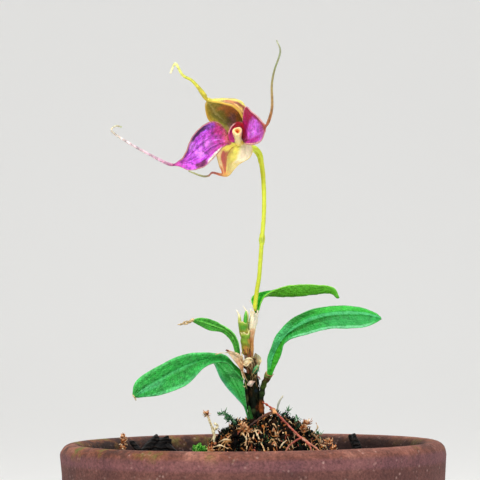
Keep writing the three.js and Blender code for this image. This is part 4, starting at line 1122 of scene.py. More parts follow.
# %% Leaves
LOW_PETIOLE = [(0.3, -2.9, 67.6), (0.1, -3, 71), (-0.1, -3, 73.9), (-0.45, -2.7, 75.6), (-0.8, -2.3, 77.2)]
LOW_PETIOLE_RADIUS = [0.5, 0.5, 0.46, 0.4, 0.26]
# The withered point of the upper left leaf: two crumpled ribbons that cross
WITHERED_TIP = [
    [(-11.3, -6.05, 94.05), (-12.2, -6.2, 93.7), (-12.9, -6.2, 93.9), (-13.6, -6.3, 93.35),
     (-14.5, -6.4, 93.3)],
    [(-11.2, -6.1, 94.2), (-11.9, -6.1, 94.15), (-12.5, -6.3, 93.5), (-13.3, -6.2, 93.3)],
]


def tapered_stem(path, radii, rows=40, sides=20, seed=0, rough=0.0, rough_size=1.0, **ring):
    """A stem along the smooth line through a path. Its radius runs evenly through the keys, its last rows
    close in so that the ends are round, and a ripple can roughen it."""
    route = even_line(path, rows)
    share = np.linspace(0, 1, rows)
    radius = np.interp(share, np.linspace(0, 1, len(radii)), radii)
    radius = radius * np.sqrt(np.clip(np.minimum(share, 1 - share) * rows / 2.2 + 0.12, 0, 1))
    rings = stem_rings(route[None], radius[None], sides, **ring)
    if rough:
        outward = unit(rings - route[None, :, None])
        rings = rings + outward * rough * ripple(rings, rough_size, seed)[..., None]
    return skin(rings, body_traits(rings, seed))


def ribbon(path, width, seed, flat=0.35, rough=0.07):
    """A crumpled dry strip: a flat stem with an uneven edge and a torn, thin end."""
    return tapered_stem(path, [0.7 * width, width, 0.75 * width, width, 0.3 * width], 36, 14, seed, rough,
                        0.55, flat=flat)


low_stem = tapered_stem(LOW_PETIOLE, LOW_PETIOLE_RADIUS, seed=5, rough=0.06)
LEAF_FINISH = {
    "leaf_left_broad": broad_leaf, "leaf_right_large": long_leaf, "leaf_left_upper": pale_tip_leaf,
    "leaf_left_low": low_leaf, "leaf_right_top": high_leaf,
}
LEAF_WAVE = {"leaf_right_top": 0.12, "leaf_left_low": 0.15}
for number, (leaf_name, outline) in enumerate(LEAVES.items()):
    relief = leaf_relief(200 + 7 * number, wave=LEAF_WAVE.get(leaf_name, 0.26))
    body = blade(
        **outline, crease=0.4, half_thick=0.22, facing=(0, -0.3, 1), relief=relief, columns=45,
        tail_halves=(0.16, 0.1))
    piece(leaf_name + "_blade", body, LEAF_FINISH[leaf_name], [leaf_name])
mossy_stub = strand_finish(
    "green_leaf_stub", [(0.0, "#123410"), (0.6, "#1a4a16"), (1.0, "#285c22")], 0.6, 0.6)
piece("low_leaf_stub", low_stem, mossy_stub)
withered = strand_finish(
    "withered_leaf_tip", [(0.0, "#8a6a44"), (0.4, "#c9b083"), (0.7, "#e6d6b0"), (1.0, "#b09468")], 0.5)
tip_body = together(*[ribbon(path, 0.36, 60 + n, 0.5, 0.12) for n, path in enumerate(WITHERED_TIP)])
piece("withered_leaf_tip", tip_body, withered)
print("leaf triangles:", sum(made_pieces[name + "_blade"] for name in LEAVES))

# %% [markdown]
# ## Old stems, sheaths and the green shoot
# The plant creeps: each year a short woody joint grows on, and papery sheaths that dry and fray wrap it.
# The old joints are nearly black with lengthwise ridges. Dry sheaths are cream, tan or salmon, thin enough
# to crumple, and torn at the top. The young shoot is still green, in pointed sheaths. Colours that lie in
# one spot are painted as patches: a patch is a place, a reach and a colour, and its edge is broken up by
# noise, as a stain's edge is.


# %% Patches of colour
def patched(tree, colour, at, patches, ragged_mm=0.5):
    """Mixes patches into a colour. Each patch is a hex colour, a place in millimetres, the reach at which
    it has faded out, and its strength in the middle."""
    noise = node(tree, "ShaderNodeTexNoise", {"Vector": at, "Scale": 1 / (0.9 * MM), "Detail": 3.0})
    shift = node(
        tree, "ShaderNodeVectorMath", {0: noise.outputs["Color"], 1: (0.5, 0.5, 0.5)}, operation="SUBTRACT",
    )
    moved = node(
        tree, "ShaderNodeVectorMath", {0: shift.outputs["Vector"], 1: (2 * ragged_mm * MM,) * 3, 2: at},
        operation="MULTIPLY_ADD",
    )
    for hex_colour, centre, reach, strength in patches:
        away = node(
            tree, "ShaderNodeVectorMath", {0: moved.outputs["Vector"], 1: tuple(np.array(centre) * MM)},
            operation="DISTANCE",
        )
        share = node(
            tree, "ShaderNodeMapRange",
            {"Value": away.outputs["Value"], "From Min": reach * MM, "From Max": 0.35 * reach * MM,
             "To Max": strength},
            interpolation_type="SMOOTHSTEP",
        )
        colour = layered(tree, colour, [(share.outputs["Result"], hex_colour)])
    return colour


def ridged_finish(
    name, stops, patches=(), ridges=26.0, ridge_depth=0.12, roughness=0.7, dark=0.45, streak=0.25,
    glow=0.0, shine=0.4,
):
    """Tissue with lengthwise ridges. The colour runs along the piece from foot to tip, shifted by a noise
    that is drawn out lengthwise, which also darkens the furrows. glow is the share of light that goes
    through, and shine is the shader's specular level."""
    material, tree, shader, at, _, split = placed_finish(name)
    turn = node(tree, "ShaderNodeMath", {0: split["X"], 1: TURN}, operation="MULTIPLY").outputs[0]
    cosine = node(tree, "ShaderNodeMath", {0: turn}, operation="COSINE").outputs[0]
    sine = node(tree, "ShaderNodeMath", {0: turn}, operation="SINE").outputs[0]
    lengthwise = node(tree, "ShaderNodeMath", {0: split["Y"], 1: 0.35}, operation="MULTIPLY").outputs[0]
    drawn_out = node(tree, "ShaderNodeCombineXYZ", {0: cosine, 1: sine, 2: lengthwise}).outputs["Vector"]
    lines = node(
        tree, "ShaderNodeTexNoise",
        {"Vector": drawn_out, "Scale": ridges / 4, "Detail": 4.0, "Roughness": 0.65},
    ).outputs["Fac"]
    spots = node(
        tree, "ShaderNodeTexNoise", {"Vector": at, "Scale": 1 / (0.8 * MM), "Detail": 4.0},
    ).outputs["Fac"]
    picked = wavered(tree, split["Y"], lines, streak)
    hue = node(tree, "ShaderNodeValToRGB", {"Fac": picked}, stops=stops).outputs["Color"]
    hue = patched(tree, hue, at, patches)
    both = node(tree, "ShaderNodeMath", {0: lines, 1: spots}, operation="ADD").outputs[0]
    hue = toned(tree, hue, both, 0.75, 1.25, 1 - dark, 1 + dark / 2)
    surfaced(tree, shader, hue, roughness, shine, glow)
    bumped(tree, shader, lines, ridge_depth, 0.9)
    return material


# %% Woody stems
MAIN_STEM = [(0.5, 0.6, 67.3), (0.3, 0.5, 72), (0.2, 0.4, 77), (0.1, 0.3, 81), (-0.2, 0.2, 84.5),
             (-0.4, 0.2, 86.6)]
SIDE_STEM = [(2.1, -0.4, 67.3), (1.9, -0.5, 72.5), (1.7, -0.6, 77), (1.8, -0.8, 79.4), (2.2, -1.1, 81.2),
             (2.75, -1.3, 82.3), (3.2, -1.4, 83.1)]
# A thin old shoot that leans on the left of the main stem
LEFT_STEM = [(-1.0, -1.0, 76.4), (-1.25, -1.1, 78.6), (-1.32, -1.1, 80.8), (-1.1, -0.8, 83.2)]
# The torn collar in which the large leaf stands
COLLAR = [(2.7, -1.25, 82.2), (3.05, -1.35, 82.9), (3.4, -1.45, 83.6)]
CREEPING_STEM = [(-2, 0.9, 67.8), (0.5, 0.5, 68), (2.3, -0.3, 68), (4.6, -0.8, 67.8)]
LEAF_JOINTS = [
    [(-0.1, 0.1, 82.4), (-1, -0.7, 83), (-1.8, -1.3, 83.3)],
    [(-0.2, 0.1, 84.4), (-1.6, 0, 85.3), (-2.5, -0.3, 85.8)],
]


def stem_fibres(seed, count, low, high, reach, rows=9, sides=5):
    """Threads of old sheath that lie along the main stem and stand off it at one end. Each starts at a
    random height and angle, and its distance from the stem grows with the square of the way along."""
    draw = np.random.default_rng(seed)
    dense = even_line(MAIN_STEM, 400)
    foot = draw.uniform(low, high, count)
    length = draw.uniform(1.5, 4.0, count) * np.where(draw.random(count) < 0.6, -1, 1)
    share = np.linspace(0, 1, rows)
    z = foot[:, None] + length[:, None] * share
    angle = draw.uniform(0, TURN, (count, 1)) + np.cumsum(draw.normal(0, 0.12, (count, rows)), 1)
    off = draw.uniform(1.0, 1.25, (count, 1)) + draw.uniform(0, reach, (count, 1)) * share ** 2
    x = np.interp(z, dense[:, 2], dense[:, 0]) + off * np.cos(angle)
    y = np.interp(z, dense[:, 2], dense[:, 1]) + off * np.sin(angle)
    radius = draw.uniform(0.05, 0.13, (count, 1)) * (1 - 0.6 * share)
    rings = stem_rings(np.stack([x, y, z], -1), radius, sides)
    return skin(rings, body_traits(rings, seed))


old_stem = ridged_finish(
    "old_woody_stem", [(0.0, "#0f110b"), (0.5, "#0c130b"), (0.85, "#18220f"), (1.0, "#5a4226")],
    patches=[
        ("#a85a2c", (1.8, -1.1, 77.0), 1.5, 0.85), ("#4c2818", (-0.8, -0.8, 79.5), 1.1, 0.45),
        ("#4c6424", (2.4, -1.6, 81.0), 1.2, 0.7), ("#3c5428", (2.0, -1.2, 79.4), 0.9, 0.6),
        ("#3f5a2c", (-0.6, -0.8, 82.6), 1.2, 0.6), ("#7a5430", (-0.6, -0.9, 84.4), 1.3, 0.7),
        # The blue-grey patch #2c3c48 is a painted highlight, a faint streak of light on the dark stem
        ("#4a5a34", (0.1, -1.0, 76.0), 0.9, 0.6), ("#2c3c48", (0.8, -0.9, 80.2), 0.7, 0.5),
        ("#3c5a28", (-1.4, -1.4, 81.4), 1.4, 0.7), ("#5c6034", (-1.4, -1.4, 78.4), 1.2, 0.6),
    ], ridges=34, ridge_depth=0.3, dark=0.6, shine=0.1)
collar_bark = ridged_finish(
    "torn_collar", [(0.0, "#3c5428"), (0.5, "#6c8038"), (0.85, "#b08a50"), (1.0, "#dcb480")], ridges=26,
    ridge_depth=0.15, dark=0.4)
fibre = strand_finish(
    "old_sheath_fibre", [(0.1, "#10140a"), (0.45, "#2a2a18"), (0.72, "#80603c"), (1.0, "#d8bf92")], 0.5)
woody = [
    tapered_stem(MAIN_STEM, [1.1, 1.1, 1.15, 1.2, 1.1, 1], 90, 40, 3, 0.09, 1.3, lobes=6, lobe_depth=0.05),
    tapered_stem(
        SIDE_STEM, [0.8, 0.76, 0.68, 0.58, 0.5, 0.52, 0.6], 80, 32, 4, 0.07, 0.9, lobes=5, lobe_depth=0.05),
    tapered_stem(CREEPING_STEM, [0.8, 0.95, 0.95, 0.7], 40, 24, 6, 0.06),
    tapered_stem(LEFT_STEM, [0.42, 0.4, 0.38, 0.32], 60, 20, 9, 0.07, 0.9),
]
joints = [tapered_stem(path, radii, 30, 24, 7, 0.04) for path, radii in zip(
    LEAF_JOINTS, ([0.7, 0.6, 0.5], [0.8, 0.65, 0.5]))]
piece("rhizome_wood", together(*woody, *joints), old_stem, ["rhizome"])
piece("rhizome_fibres", stem_fibres(91, 64, 78, 87, 0.6), fibre)


# %% Papery sheath round the flowering stem
def sleeve(path, radii, wall, tear, rows=60, sides=56, seed=1, folds=9, fold_depth=0.06):
    """A thin tube that is open at its top. Its rings run up the outside, over the torn edge and down the
    inside. Cosine folds run lengthwise, and the edge's height follows a ripple round the ring."""
    route = even_line(path, rows)
    share = np.linspace(0, 1, rows)
    radius = np.interp(share, np.linspace(0, 1, len(radii)), radii)
    q = TURN * np.arange(sides) / sides
    rings = stem_rings(route[None], radius[None], sides)[0]
    outward = unit(rings - route[:, None])
    folded = fold_depth * np.cos(folds * q + 3 * share[:, None]) + 0.06 * ripple(rings, 1.4, seed)
    outer = rings + outward * folded[..., None]
    inner = outer - outward * wall
    ahead = unit(np.gradient(route, axis=0))[:, None]
    torn = tear * (0.5 + 0.5 * np.sin(2 * q + 0.8) + 0.35 * np.sin(5 * q + 2))
    drop = ease(0.75, 1, share)[:, None] * torn
    outer = outer - ahead * drop[..., None]
    inner = inner - ahead * drop[..., None]
    rings = np.concatenate([outer, inner[::-1][: rows - 6]])[None]
    traits = body_traits(rings, seed)
    height = np.concatenate([share, share[::-1][: rows - 6]])
    traits[0, :, :, 1] = height[:, None]
    return skin(rings, traits)


collar = sleeve(COLLAR, [0.55, 0.7, 0.86], 0.1, 0.45, 30, 40, 6, 5, 0.05)
piece("leaf_collar", collar, collar_bark)

PAPERY_SHEATH = [
    (-0.5, 0.1, 85.4), (-0.5, 0.1, 88), (-0.4, 0, 90), (-0.12, -0.1, 92), (0.29, -0.2, 94),
    (0.52, -0.2, 95.9),
]
# The pointed flap at the front of the mouth, which runs out to the left
PAPERY_AWN = [
    (0.42, -1.0, 94.6), (0.35, -1.2, 95.8), (-0.05, -1.2, 96.9), (-0.42, -1.0, 97.6), (-0.64, -0.9, 98.0),
]
paper_skin = ridged_finish(
    "papery_sheath_skin",
    [(0.0, "#9c6a34"), (0.2, "#d8984c"), (0.4, "#e0a460"), (0.52, "#e4b080"), (0.62, "#f0e0b8"),
     (0.85, "#f4ead0"), (1.0, "#efe3c2")],
    patches=[
        ("#d88a50", (0.1, -0.9, 91.6), 1.0, 0.6), ("#b4702c", (-0.2, -0.8, 89.6), 1.2, 0.6),
        ("#a85c2c", (-0.4, -0.7, 87.2), 1.0, 0.6), ("#d8b078", (0.5, -1.1, 95.9), 0.7, 0.6),
    ],
    ridges=30, ridge_depth=0.14, dark=0.22, roughness=0.6, glow=0.15)
sheath_body = sleeve(PAPERY_SHEATH, [0.68, 0.74, 0.78, 0.8, 0.8, 0.82], 0.12, 0.5)
awn_body = tapered_stem(PAPERY_AWN, [0.7, 0.66, 0.36, 0.2, 0.1], 40, 18, 13, 0.03, flat=0.25)
# The flap takes the pale colour that the sheath has at its mouth
awn_body[2][:, 1] = 0.95
piece("papery_sheath_skin", together(sheath_body, awn_body), paper_skin, ["papery_sheath"])


# %% Green shoot
def pointed_sheath(path, width, wall=0.16, wrap=0.75, rows=44, columns=25, seed=1):
    """A sheath leaf: a strip rolled round a path, covering the share wrap of the turn, that narrows to a
    point. Across, its place is an angle. Along, its radius is the width's key and its wrap closes up."""
    route = even_line(path, rows)
    share = np.linspace(0, 1, rows)
    across, up = side_vectors(route[None])
    radius = np.interp(share, np.linspace(0, 1, len(width)), width)[:, None, None]
    opened = (wrap * (1 - share ** 3 * 0.6))[:, None]
    q = np.pi * opened * np.linspace(-1, 1, columns) + 0.4
    rim = np.cos(q)[..., None] * across[0][:, None] + np.sin(q)[..., None] * up[0][:, None]
    uneven = 1 + 0.05 * ripple(route[:, None] + rim, 1.2, seed)[..., None]
    outer = route[:, None] + radius * uneven * rim
    inner = route[:, None] + np.maximum(radius * uneven - wall, 0.02) * rim
    rings = np.concatenate([outer, inner[:, ::-1]], 1)[None]
    return skin(rings, body_traits(rings, seed))


# Two short sheaths, one inside the other, with a core in them, a tongue between their points, and two awns
LOW_SHEATH = [(-1.25, -0.8, 87.4), (-1.3, -0.95, 89), (-1.32, -1.1, 90.6), (-1.5, -1.2, 91.9)]
HIGH_SHEATH = [(-1.4, -1.1, 90.6), (-1.62, -1.2, 92), (-1.72, -1.3, 93), (-1.74, -1.3, 94)]
SHOOT_CORE = [(-1.2, -0.8, 87), (-1.3, -1.0, 89.5), (-1.6, -1.2, 91.8), (-1.68, -1.3, 93.3)]
SHOOT_TONGUE = [(-1.35, -1.4, 92.6), (-1.28, -1.55, 94.2), (-1.2, -1.6, 95.1), (-1.12, -1.5, 95.8)]
SHOOT_AWNS = [
    ([(-2.45, -1.5, 93.2), (-2.42, -1.6, 94.2), (-2.6, -1.5, 95.1), (-3.1, -1.4, 96.0)],
     [0.3, 0.34, 0.2, 0.06]),
    ([(-0.9, -1.4, 93.3), (-0.88, -1.5, 94.8), (-1.0, -1.45, 95.6), (-1.38, -1.4, 96.2), (-1.8, -1.3, 96.8)],
     [0.22, 0.22, 0.24, 0.15, 0.06]),
]
shoot_green = ridged_finish(
    "young_sheath",
    [(0.0, "#8f7824"), (0.3, "#8a8418"), (0.6, "#6c901c"), (0.82, "#78a424"), (0.94, "#c4c464"),
     (1.0, "#e6dca4")],
    patches=[
        ("#3f8e1c", (-1.7, -2.2, 92.5), 0.85, 0.85), ("#d48c34", (-0.35, -1.4, 89.8), 1.0, 0.85),
        ("#efe6c8", (-2.2, -1.2, 90.6), 0.5, 0.7), ("#c98c40", (-1.1, -1.6, 88.2), 0.9, 0.7),
        ("#d8cf7c", (-0.5, -1.6, 91.9), 0.6, 0.6),
    ],
    ridges=20, ridge_depth=0.06, dark=0.3, roughness=0.5, glow=0.05)
awn_cream = ridged_finish(
    "pale_awn", [(0.0, "#9cac44"), (0.35, "#b4bc5c"), (0.6, "#e6dcb0"), (1.0, "#efe8d6")], ridges=12,
    ridge_depth=0.05, dark=0.2, roughness=0.6)
tongue_green = ridged_finish(
    "young_tongue", [(0.0, "#3c9a1c"), (0.6, "#44a824"), (1.0, "#7cc040")], ridges=16, ridge_depth=0.04,
    dark=0.15, roughness=0.45, glow=0.1)
shoot = together(
    tapered_stem(SHOOT_CORE, [0.6, 0.7, 0.8, 0.6], 60, 32, 8, 0.03),
    sleeve(LOW_SHEATH, [0.74, 0.86, 0.9, 0.98], 0.1, 0.5, seed=9, folds=7, fold_depth=0.03),
    sleeve(HIGH_SHEATH, [0.8, 0.92, 0.96, 0.9], 0.1, 0.5, seed=10, folds=6, fold_depth=0.03),
)
shoot[2][:, 1] = np.minimum(shoot[2][:, 1], 0.99)
awns = together(*[
    tapered_stem(path, radii, 40, 16, 14 + n, 0.02) for n, (path, radii) in enumerate(SHOOT_AWNS)])
piece("green_shoot_sheaths", shoot, shoot_green, ["green_shoot"])
piece("green_shoot_awns", awns, awn_cream)
piece(
    "green_shoot_tongue", tapered_stem(SHOOT_TONGUE, [0.55, 0.6, 0.56, 0.18], 40, 24, 11, 0.03, flat=0.6),
    tongue_green)

# %% Dry scraps of old sheath
DRY_SHEATHS = {
    "dry_sheath_left": {
        "left": [(-2.1, -3.2, 84), (-2.9, -3.5, 85.3), (-3.8, -4, 86.5), (-4.9, -4.5, 88)],
        "midrib": [(-1.9, -3.2, 84.2), (-2.4, -3.4, 85.8), (-3.3, -3.8, 87.0), (-4.8, -4.4, 88.15)],
        "right": [(-1.8, -3.2, 84.4), (-2.0, -3.4, 86.4), (-2.8, -3.8, 87.5), (-4.6, -4.4, 88.3)],
    },
    "dry_sheath_front": {
        "left": [(-1.5, -2, 82.6), (-2.1, -2.2, 84.0), (-2.3, -2.1, 85.3), (-2.2, -2.2, 87.0)],
        "midrib": [(-1.4, -2.1, 82.7), (-1.95, -2.3, 84.1), (-2.05, -2.3, 85.4), (-2.05, -2.2, 87.1)],
        "right": [(-1.3, -2, 82.8), (-1.8, -2.2, 84.2), (-1.8, -2.1, 85.5), (-1.9, -2.2, 87.2)],
    },
    "dry_sheath_ring": {
        "left": [(-1.9, -3.0, 85.6), (-1.3, -3.1, 86.2), (-0.6, -2.8, 86.45), (0.1, -2.2, 86.3)],
        "midrib": [(-1.8, -3.1, 85.3), (-1.2, -3.2, 85.8), (-0.5, -2.9, 86.1), (0.15, -2.2, 86.05)],
        "right": [(-1.7, -3.0, 85.0), (-1.1, -3.1, 85.35), (-0.3, -2.8, 85.6), (0.2, -2.2, 85.8)],
    },
    "dry_sheath_low": {
        "left": [(-1.07, -1.7, 81.4), (-0.65, -1.9, 81.85), (-0.28, -2.1, 82.25)],
        "midrib": [(-0.64, -1.8, 81.1), (-0.25, -2.1, 81.5), (0.16, -2.3, 82.05)],
        "right": [(-0.2, -1.7, 80.8), (0.2, -1.9, 81.3), (0.6, -2.1, 81.85)],
    },
    "dry_sheath_back": {
        "left": [(0.2, 1.9, 85.1), (0.2, 2.1, 86.3), (0.5, 2.3, 87.3)],
        "midrib": [(0.9, 2, 85), (1, 2.2, 86.1), (1.1, 2.4, 87.1)],
        "right": [(1.4, 1.9, 84.9), (1.7, 2.1, 85.8), (1.8, 2.3, 86.5)],
    },
}


# Narrow strips of the same sheaths, each with its half width
CREAM_STRIPS = [
    ([(-7.3, -4.7, 87.35), (-5.9, -4.5, 87.65), (-4.4, -4.3, 87.7), (-3.3, -4.1, 87.1)], 0.17),
    ([(-2.2, -2.9, 85.3), (-1.8, -3.2, 86.0), (-1.2, -3.4, 86.3), (-0.4, -3.1, 86.4),
      (0.1, -2.5, 86.0)], 0.26),
    ([(-1.9, -3.2, 85.5), (-1.2, -3.4, 85.0), (-0.6, -3.2, 85.5), (-0.3, -2.9, 86.2)], 0.22),
    ([(-2.2, -3.0, 85.5), (-2.2, -3.0, 84.2), (-1.85, -2.8, 83.0), (-1.6, -2.6, 81.9)], 0.2),
    ([(-2.15, -2.6, 87.7), (-2.0, -2.7, 87.1), (-1.9, -2.7, 86.4)], 0.19),
    ([(-3.9, -4.2, 87.6), (-3.0, -4.0, 87.3), (-2.4, -3.7, 86.4), (-2.1, -3.5, 85.2)], 0.17),
    ([(-1.9, -2.4, 81.2), (-1.6, -2.4, 80.9), (-1.4, -2.4, 81.1)], 0.13),
]
TAN_STRIPS = [
    ([(-1.9, -2.3, 83.4), (-1.4, -2.4, 82.7), (-0.9, -2.3, 81.9)], 0.18),
    ([(-0.35, -2.1, 82.9), (0.3, -2.4, 83.7), (1.25, -2.3, 84.9)], 0.15),
    ([(0.0, -2.1, 82.5), (0.6, -2.2, 83.0), (0.9, -2.1, 83.4)], 0.14),
    ([(-1.5, -2.2, 81.9), (-1.3, -2.3, 81.2), (-1.1, -2.2, 80.6)], 0.16),
]
BROWN_STRIPS = [
    ([(-1.7, -2.1, 88.4), (-1.5, -2.3, 87.5), (-1.35, -2.2, 86.6)], 0.24),
    ([(-1.05, -1.9, 88.5), (-0.9, -2.1, 87.5), (-0.85, -2.1, 86.5)], 0.26),
    ([(-0.45, -1.2, 88.4), (-0.35, -1.5, 87.4), (-0.4, -1.6, 86.5)], 0.24),
    ([(-1.2, -2.6, 84.9), (-0.9, -2.5, 84.2), (-0.8, -2.2, 83.4)], 0.22),
    ([(-5.15, -4.5, 88.1), (-4.9, -4.6, 88.2), (-4.6, -4.6, 88.0)], 0.3),
    ([(0.9, -2.2, 82.9), (1.3, -2.3, 82.7), (1.5, -2.2, 82.3)], 0.32),
]


def scrap_relief(seed):
    """Crumpled paper: ripples about 1.4 mm and 0.6 mm long, stronger at the edges, and lengthwise folds."""
    def relief(t, along, sheet):
        crumple = 0.14 * ripple(sheet, 1.4, seed) + 0.08 * ripple(sheet, 0.6, seed + 1)
        return crumple * (0.5 + 0.5 * np.abs(t)) + 0.05 * np.cos(9 * t)
    return relief


def torn(outline, seed, amount=0.22):
    """The outline with its points moved a little at random, but not those of its midrib."""
    draw = np.random.default_rng(seed)
    moved = dict(outline)
    for line in ("left", "right"):
        moved[line] = np.array(outline[line], float) + draw.normal(0, amount, (len(outline[line]), 3)) * 0.5
    return moved


scrap_tan = ridged_finish(
    "dry_sheath_scrap", [(0.0, "#a8784c"), (0.35, "#d8a878"), (0.7, "#efd8b0"), (1.0, "#dcae88")],
    ridges=30, ridge_depth=0.12, dark=0.45, roughness=0.75, glow=0.1)
strip_cream = ridged_finish(
    "bleached_strips", [(0.0, "#c9a878"), (0.4, "#f2e2b8"), (0.8, "#ecd6a0"), (1.0, "#b89468")],
    ridges=16, ridge_depth=0.1, dark=0.3, roughness=0.75, glow=0.1)
strip_tan = ridged_finish(
    "olive_tan_strips", [(0.0, "#8c7c44"), (0.5, "#bca868"), (1.0, "#a08454")], ridges=16, ridge_depth=0.1,
    dark=0.35, roughness=0.75)
strip_brown = ridged_finish(
    "red_brown_strips", [(0.0, "#4c2014"), (0.5, "#94502e"), (1.0, "#6a2c1a")], ridges=16, ridge_depth=0.12,
    dark=0.5, roughness=0.75)
scrap_pink = ridged_finish(
    "pink_sheath_scrap", [(0.0, "#d9b8a4"), (0.5, "#f0d8c6"), (1.0, "#e4bca6")], ridges=30, ridge_depth=0.1,
    dark=0.25, roughness=0.75, glow=0.1)
scrap_yellow = ridged_finish(
    "yellow_sheath_scrap", [(0.0, "#d8c088"), (0.5, "#ecdca4"), (1.0, "#f4ecc8")], ridges=24,
    ridge_depth=0.1, dark=0.25, roughness=0.7, glow=0.1)
SCRAP_FINISH = {
    "dry_sheath_low": scrap_pink, "dry_sheath_back": scrap_yellow, "dry_sheath_ring": strip_cream,
}
for number, (scrap_name, outline) in enumerate(DRY_SHEATHS.items()):
    scrap = blade(
        **torn(outline, 300 + number), rows_per_step=18, columns=25, half_thick=0.07,
        relief=scrap_relief(310 + 3 * number), round_half=0.15)
    piece(
        scrap_name + "_scrap", scrap, SCRAP_FINISH.get(scrap_name, scrap_tan), [scrap_name])
bud_green = ridged_finish(
    "green_bud_skin", [(0.0, "#34583c"), (0.5, "#448a54"), (0.8, "#5c9c5c"), (1.0, "#a8bc80")], ridges=14,
    ridge_depth=0.08, dark=0.4, roughness=0.5)
BUD = [(0.1, -1.6, 83.4), (0.7, -1.75, 84.3), (1.15, -1.8, 85.2)]
bud_body = tapered_stem(BUD, [0.35, 0.62, 0.3], 30, 20, 12, 0.04)
piece("green_bud_skin", bud_body, bud_green, ["green_bud"])
for strip_name, strips, strip_finish in (
    ("cream_strips", CREAM_STRIPS, strip_cream), ("tan_strips", TAN_STRIPS, strip_tan),
    ("brown_strips", BROWN_STRIPS, strip_brown),
):
    strip_body = together(*[ribbon(path, half, 700 + n, 0.4, 0.06) for n, (path, half) in enumerate(strips)])
    piece(strip_name, strip_body, strip_finish)

# %% [markdown]
# ## Stalk and ovary
# The stalk is a thin green thread with one joint, where a tiny bract clasps it. Above, it thickens into the
# ovary, which bends over and carries the flower. Three shallow furrows run along the ovary.

# %% Stalk and ovary
FLOWER_STALK = [
    (0.52, -0.2, 95.7), (0.94, -0.1, 99.2), (1.46, 0.1, 102.2), (1.74, 0.6, 105.3), (2.1, 1.2, 109.6),
    (2.52, 2.0, 114.5), (2.6, 2.8, 118.5), (2.44, 3.6, 122.4), (2.1, 4.05, 125.2),
]
STALK_BRACT = [(2.05, 1.15, 108.7), (2.12, 1.2, 109.6), (2.2, 1.3, 110.8)]
OVARY = [(2.12, 4.05, 124.6), (1.85, 4.2, 126.2), (1.0, 3.2, 127.4), (-0.2, 1.4, 127.8), (-1.35, -0.4, 128.0)]
stalk_green = ridged_finish(
    "stalk_skin",
    [(0.0, "#c8cc30"), (0.2, "#b8c428"), (0.5, "#c2cc34"), (0.8, "#c6ce2c"), (1.0, "#c6cc30")],
    patches=[("#8fa43a", (2.1, 1.2, 109.6), 0.9, 0.6)],
    ridges=12, ridge_depth=0.03, dark=0.14, roughness=0.42, glow=0.2)
stalk_radii = [0.42, 0.42, 0.42, 0.42, 0.44, 0.42, 0.42, 0.45, 0.5]
stalk_body = tapered_stem(FLOWER_STALK, stalk_radii, 160, 20, 13, 0.012)
bract_body = pointed_sheath(STALK_BRACT, [0.47, 0.6, 0.52], 0.1, 0.9, 24, 21, 14)
piece("flower_stalk_skin", together(stalk_body, bract_body), stalk_green, ["flower_stalk"])
ovary_body = tapered_stem(
    OVARY, [0.5, 0.66, 0.68, 0.62, 0.6], 70, 36, 15, 0.02, 1.4, lobes=6, lobe_depth=0.05)
piece("ovary_skin", ovary_body, stalk_green, ["ovary"])

# %% [markdown]
# ## The flower
# Two petals and two sepals are thin, fleshy blades that run out into long tails. The upper sepal arches
# over like a hood, olive inside and yellow outside with red stripes. The petals are magenta with a
# glistening skin of tiny round cells. The lower sepal, two grown together, is cream with an orange-pink
# half. One finish serves all of them: a colour from foot to tail, a colour for the outer face, fine
# lengthwise streaks, a line along the edge, and bands and patches of colour where the real one has them.
# A few of those bands and patches are painted highlights and painted shade.

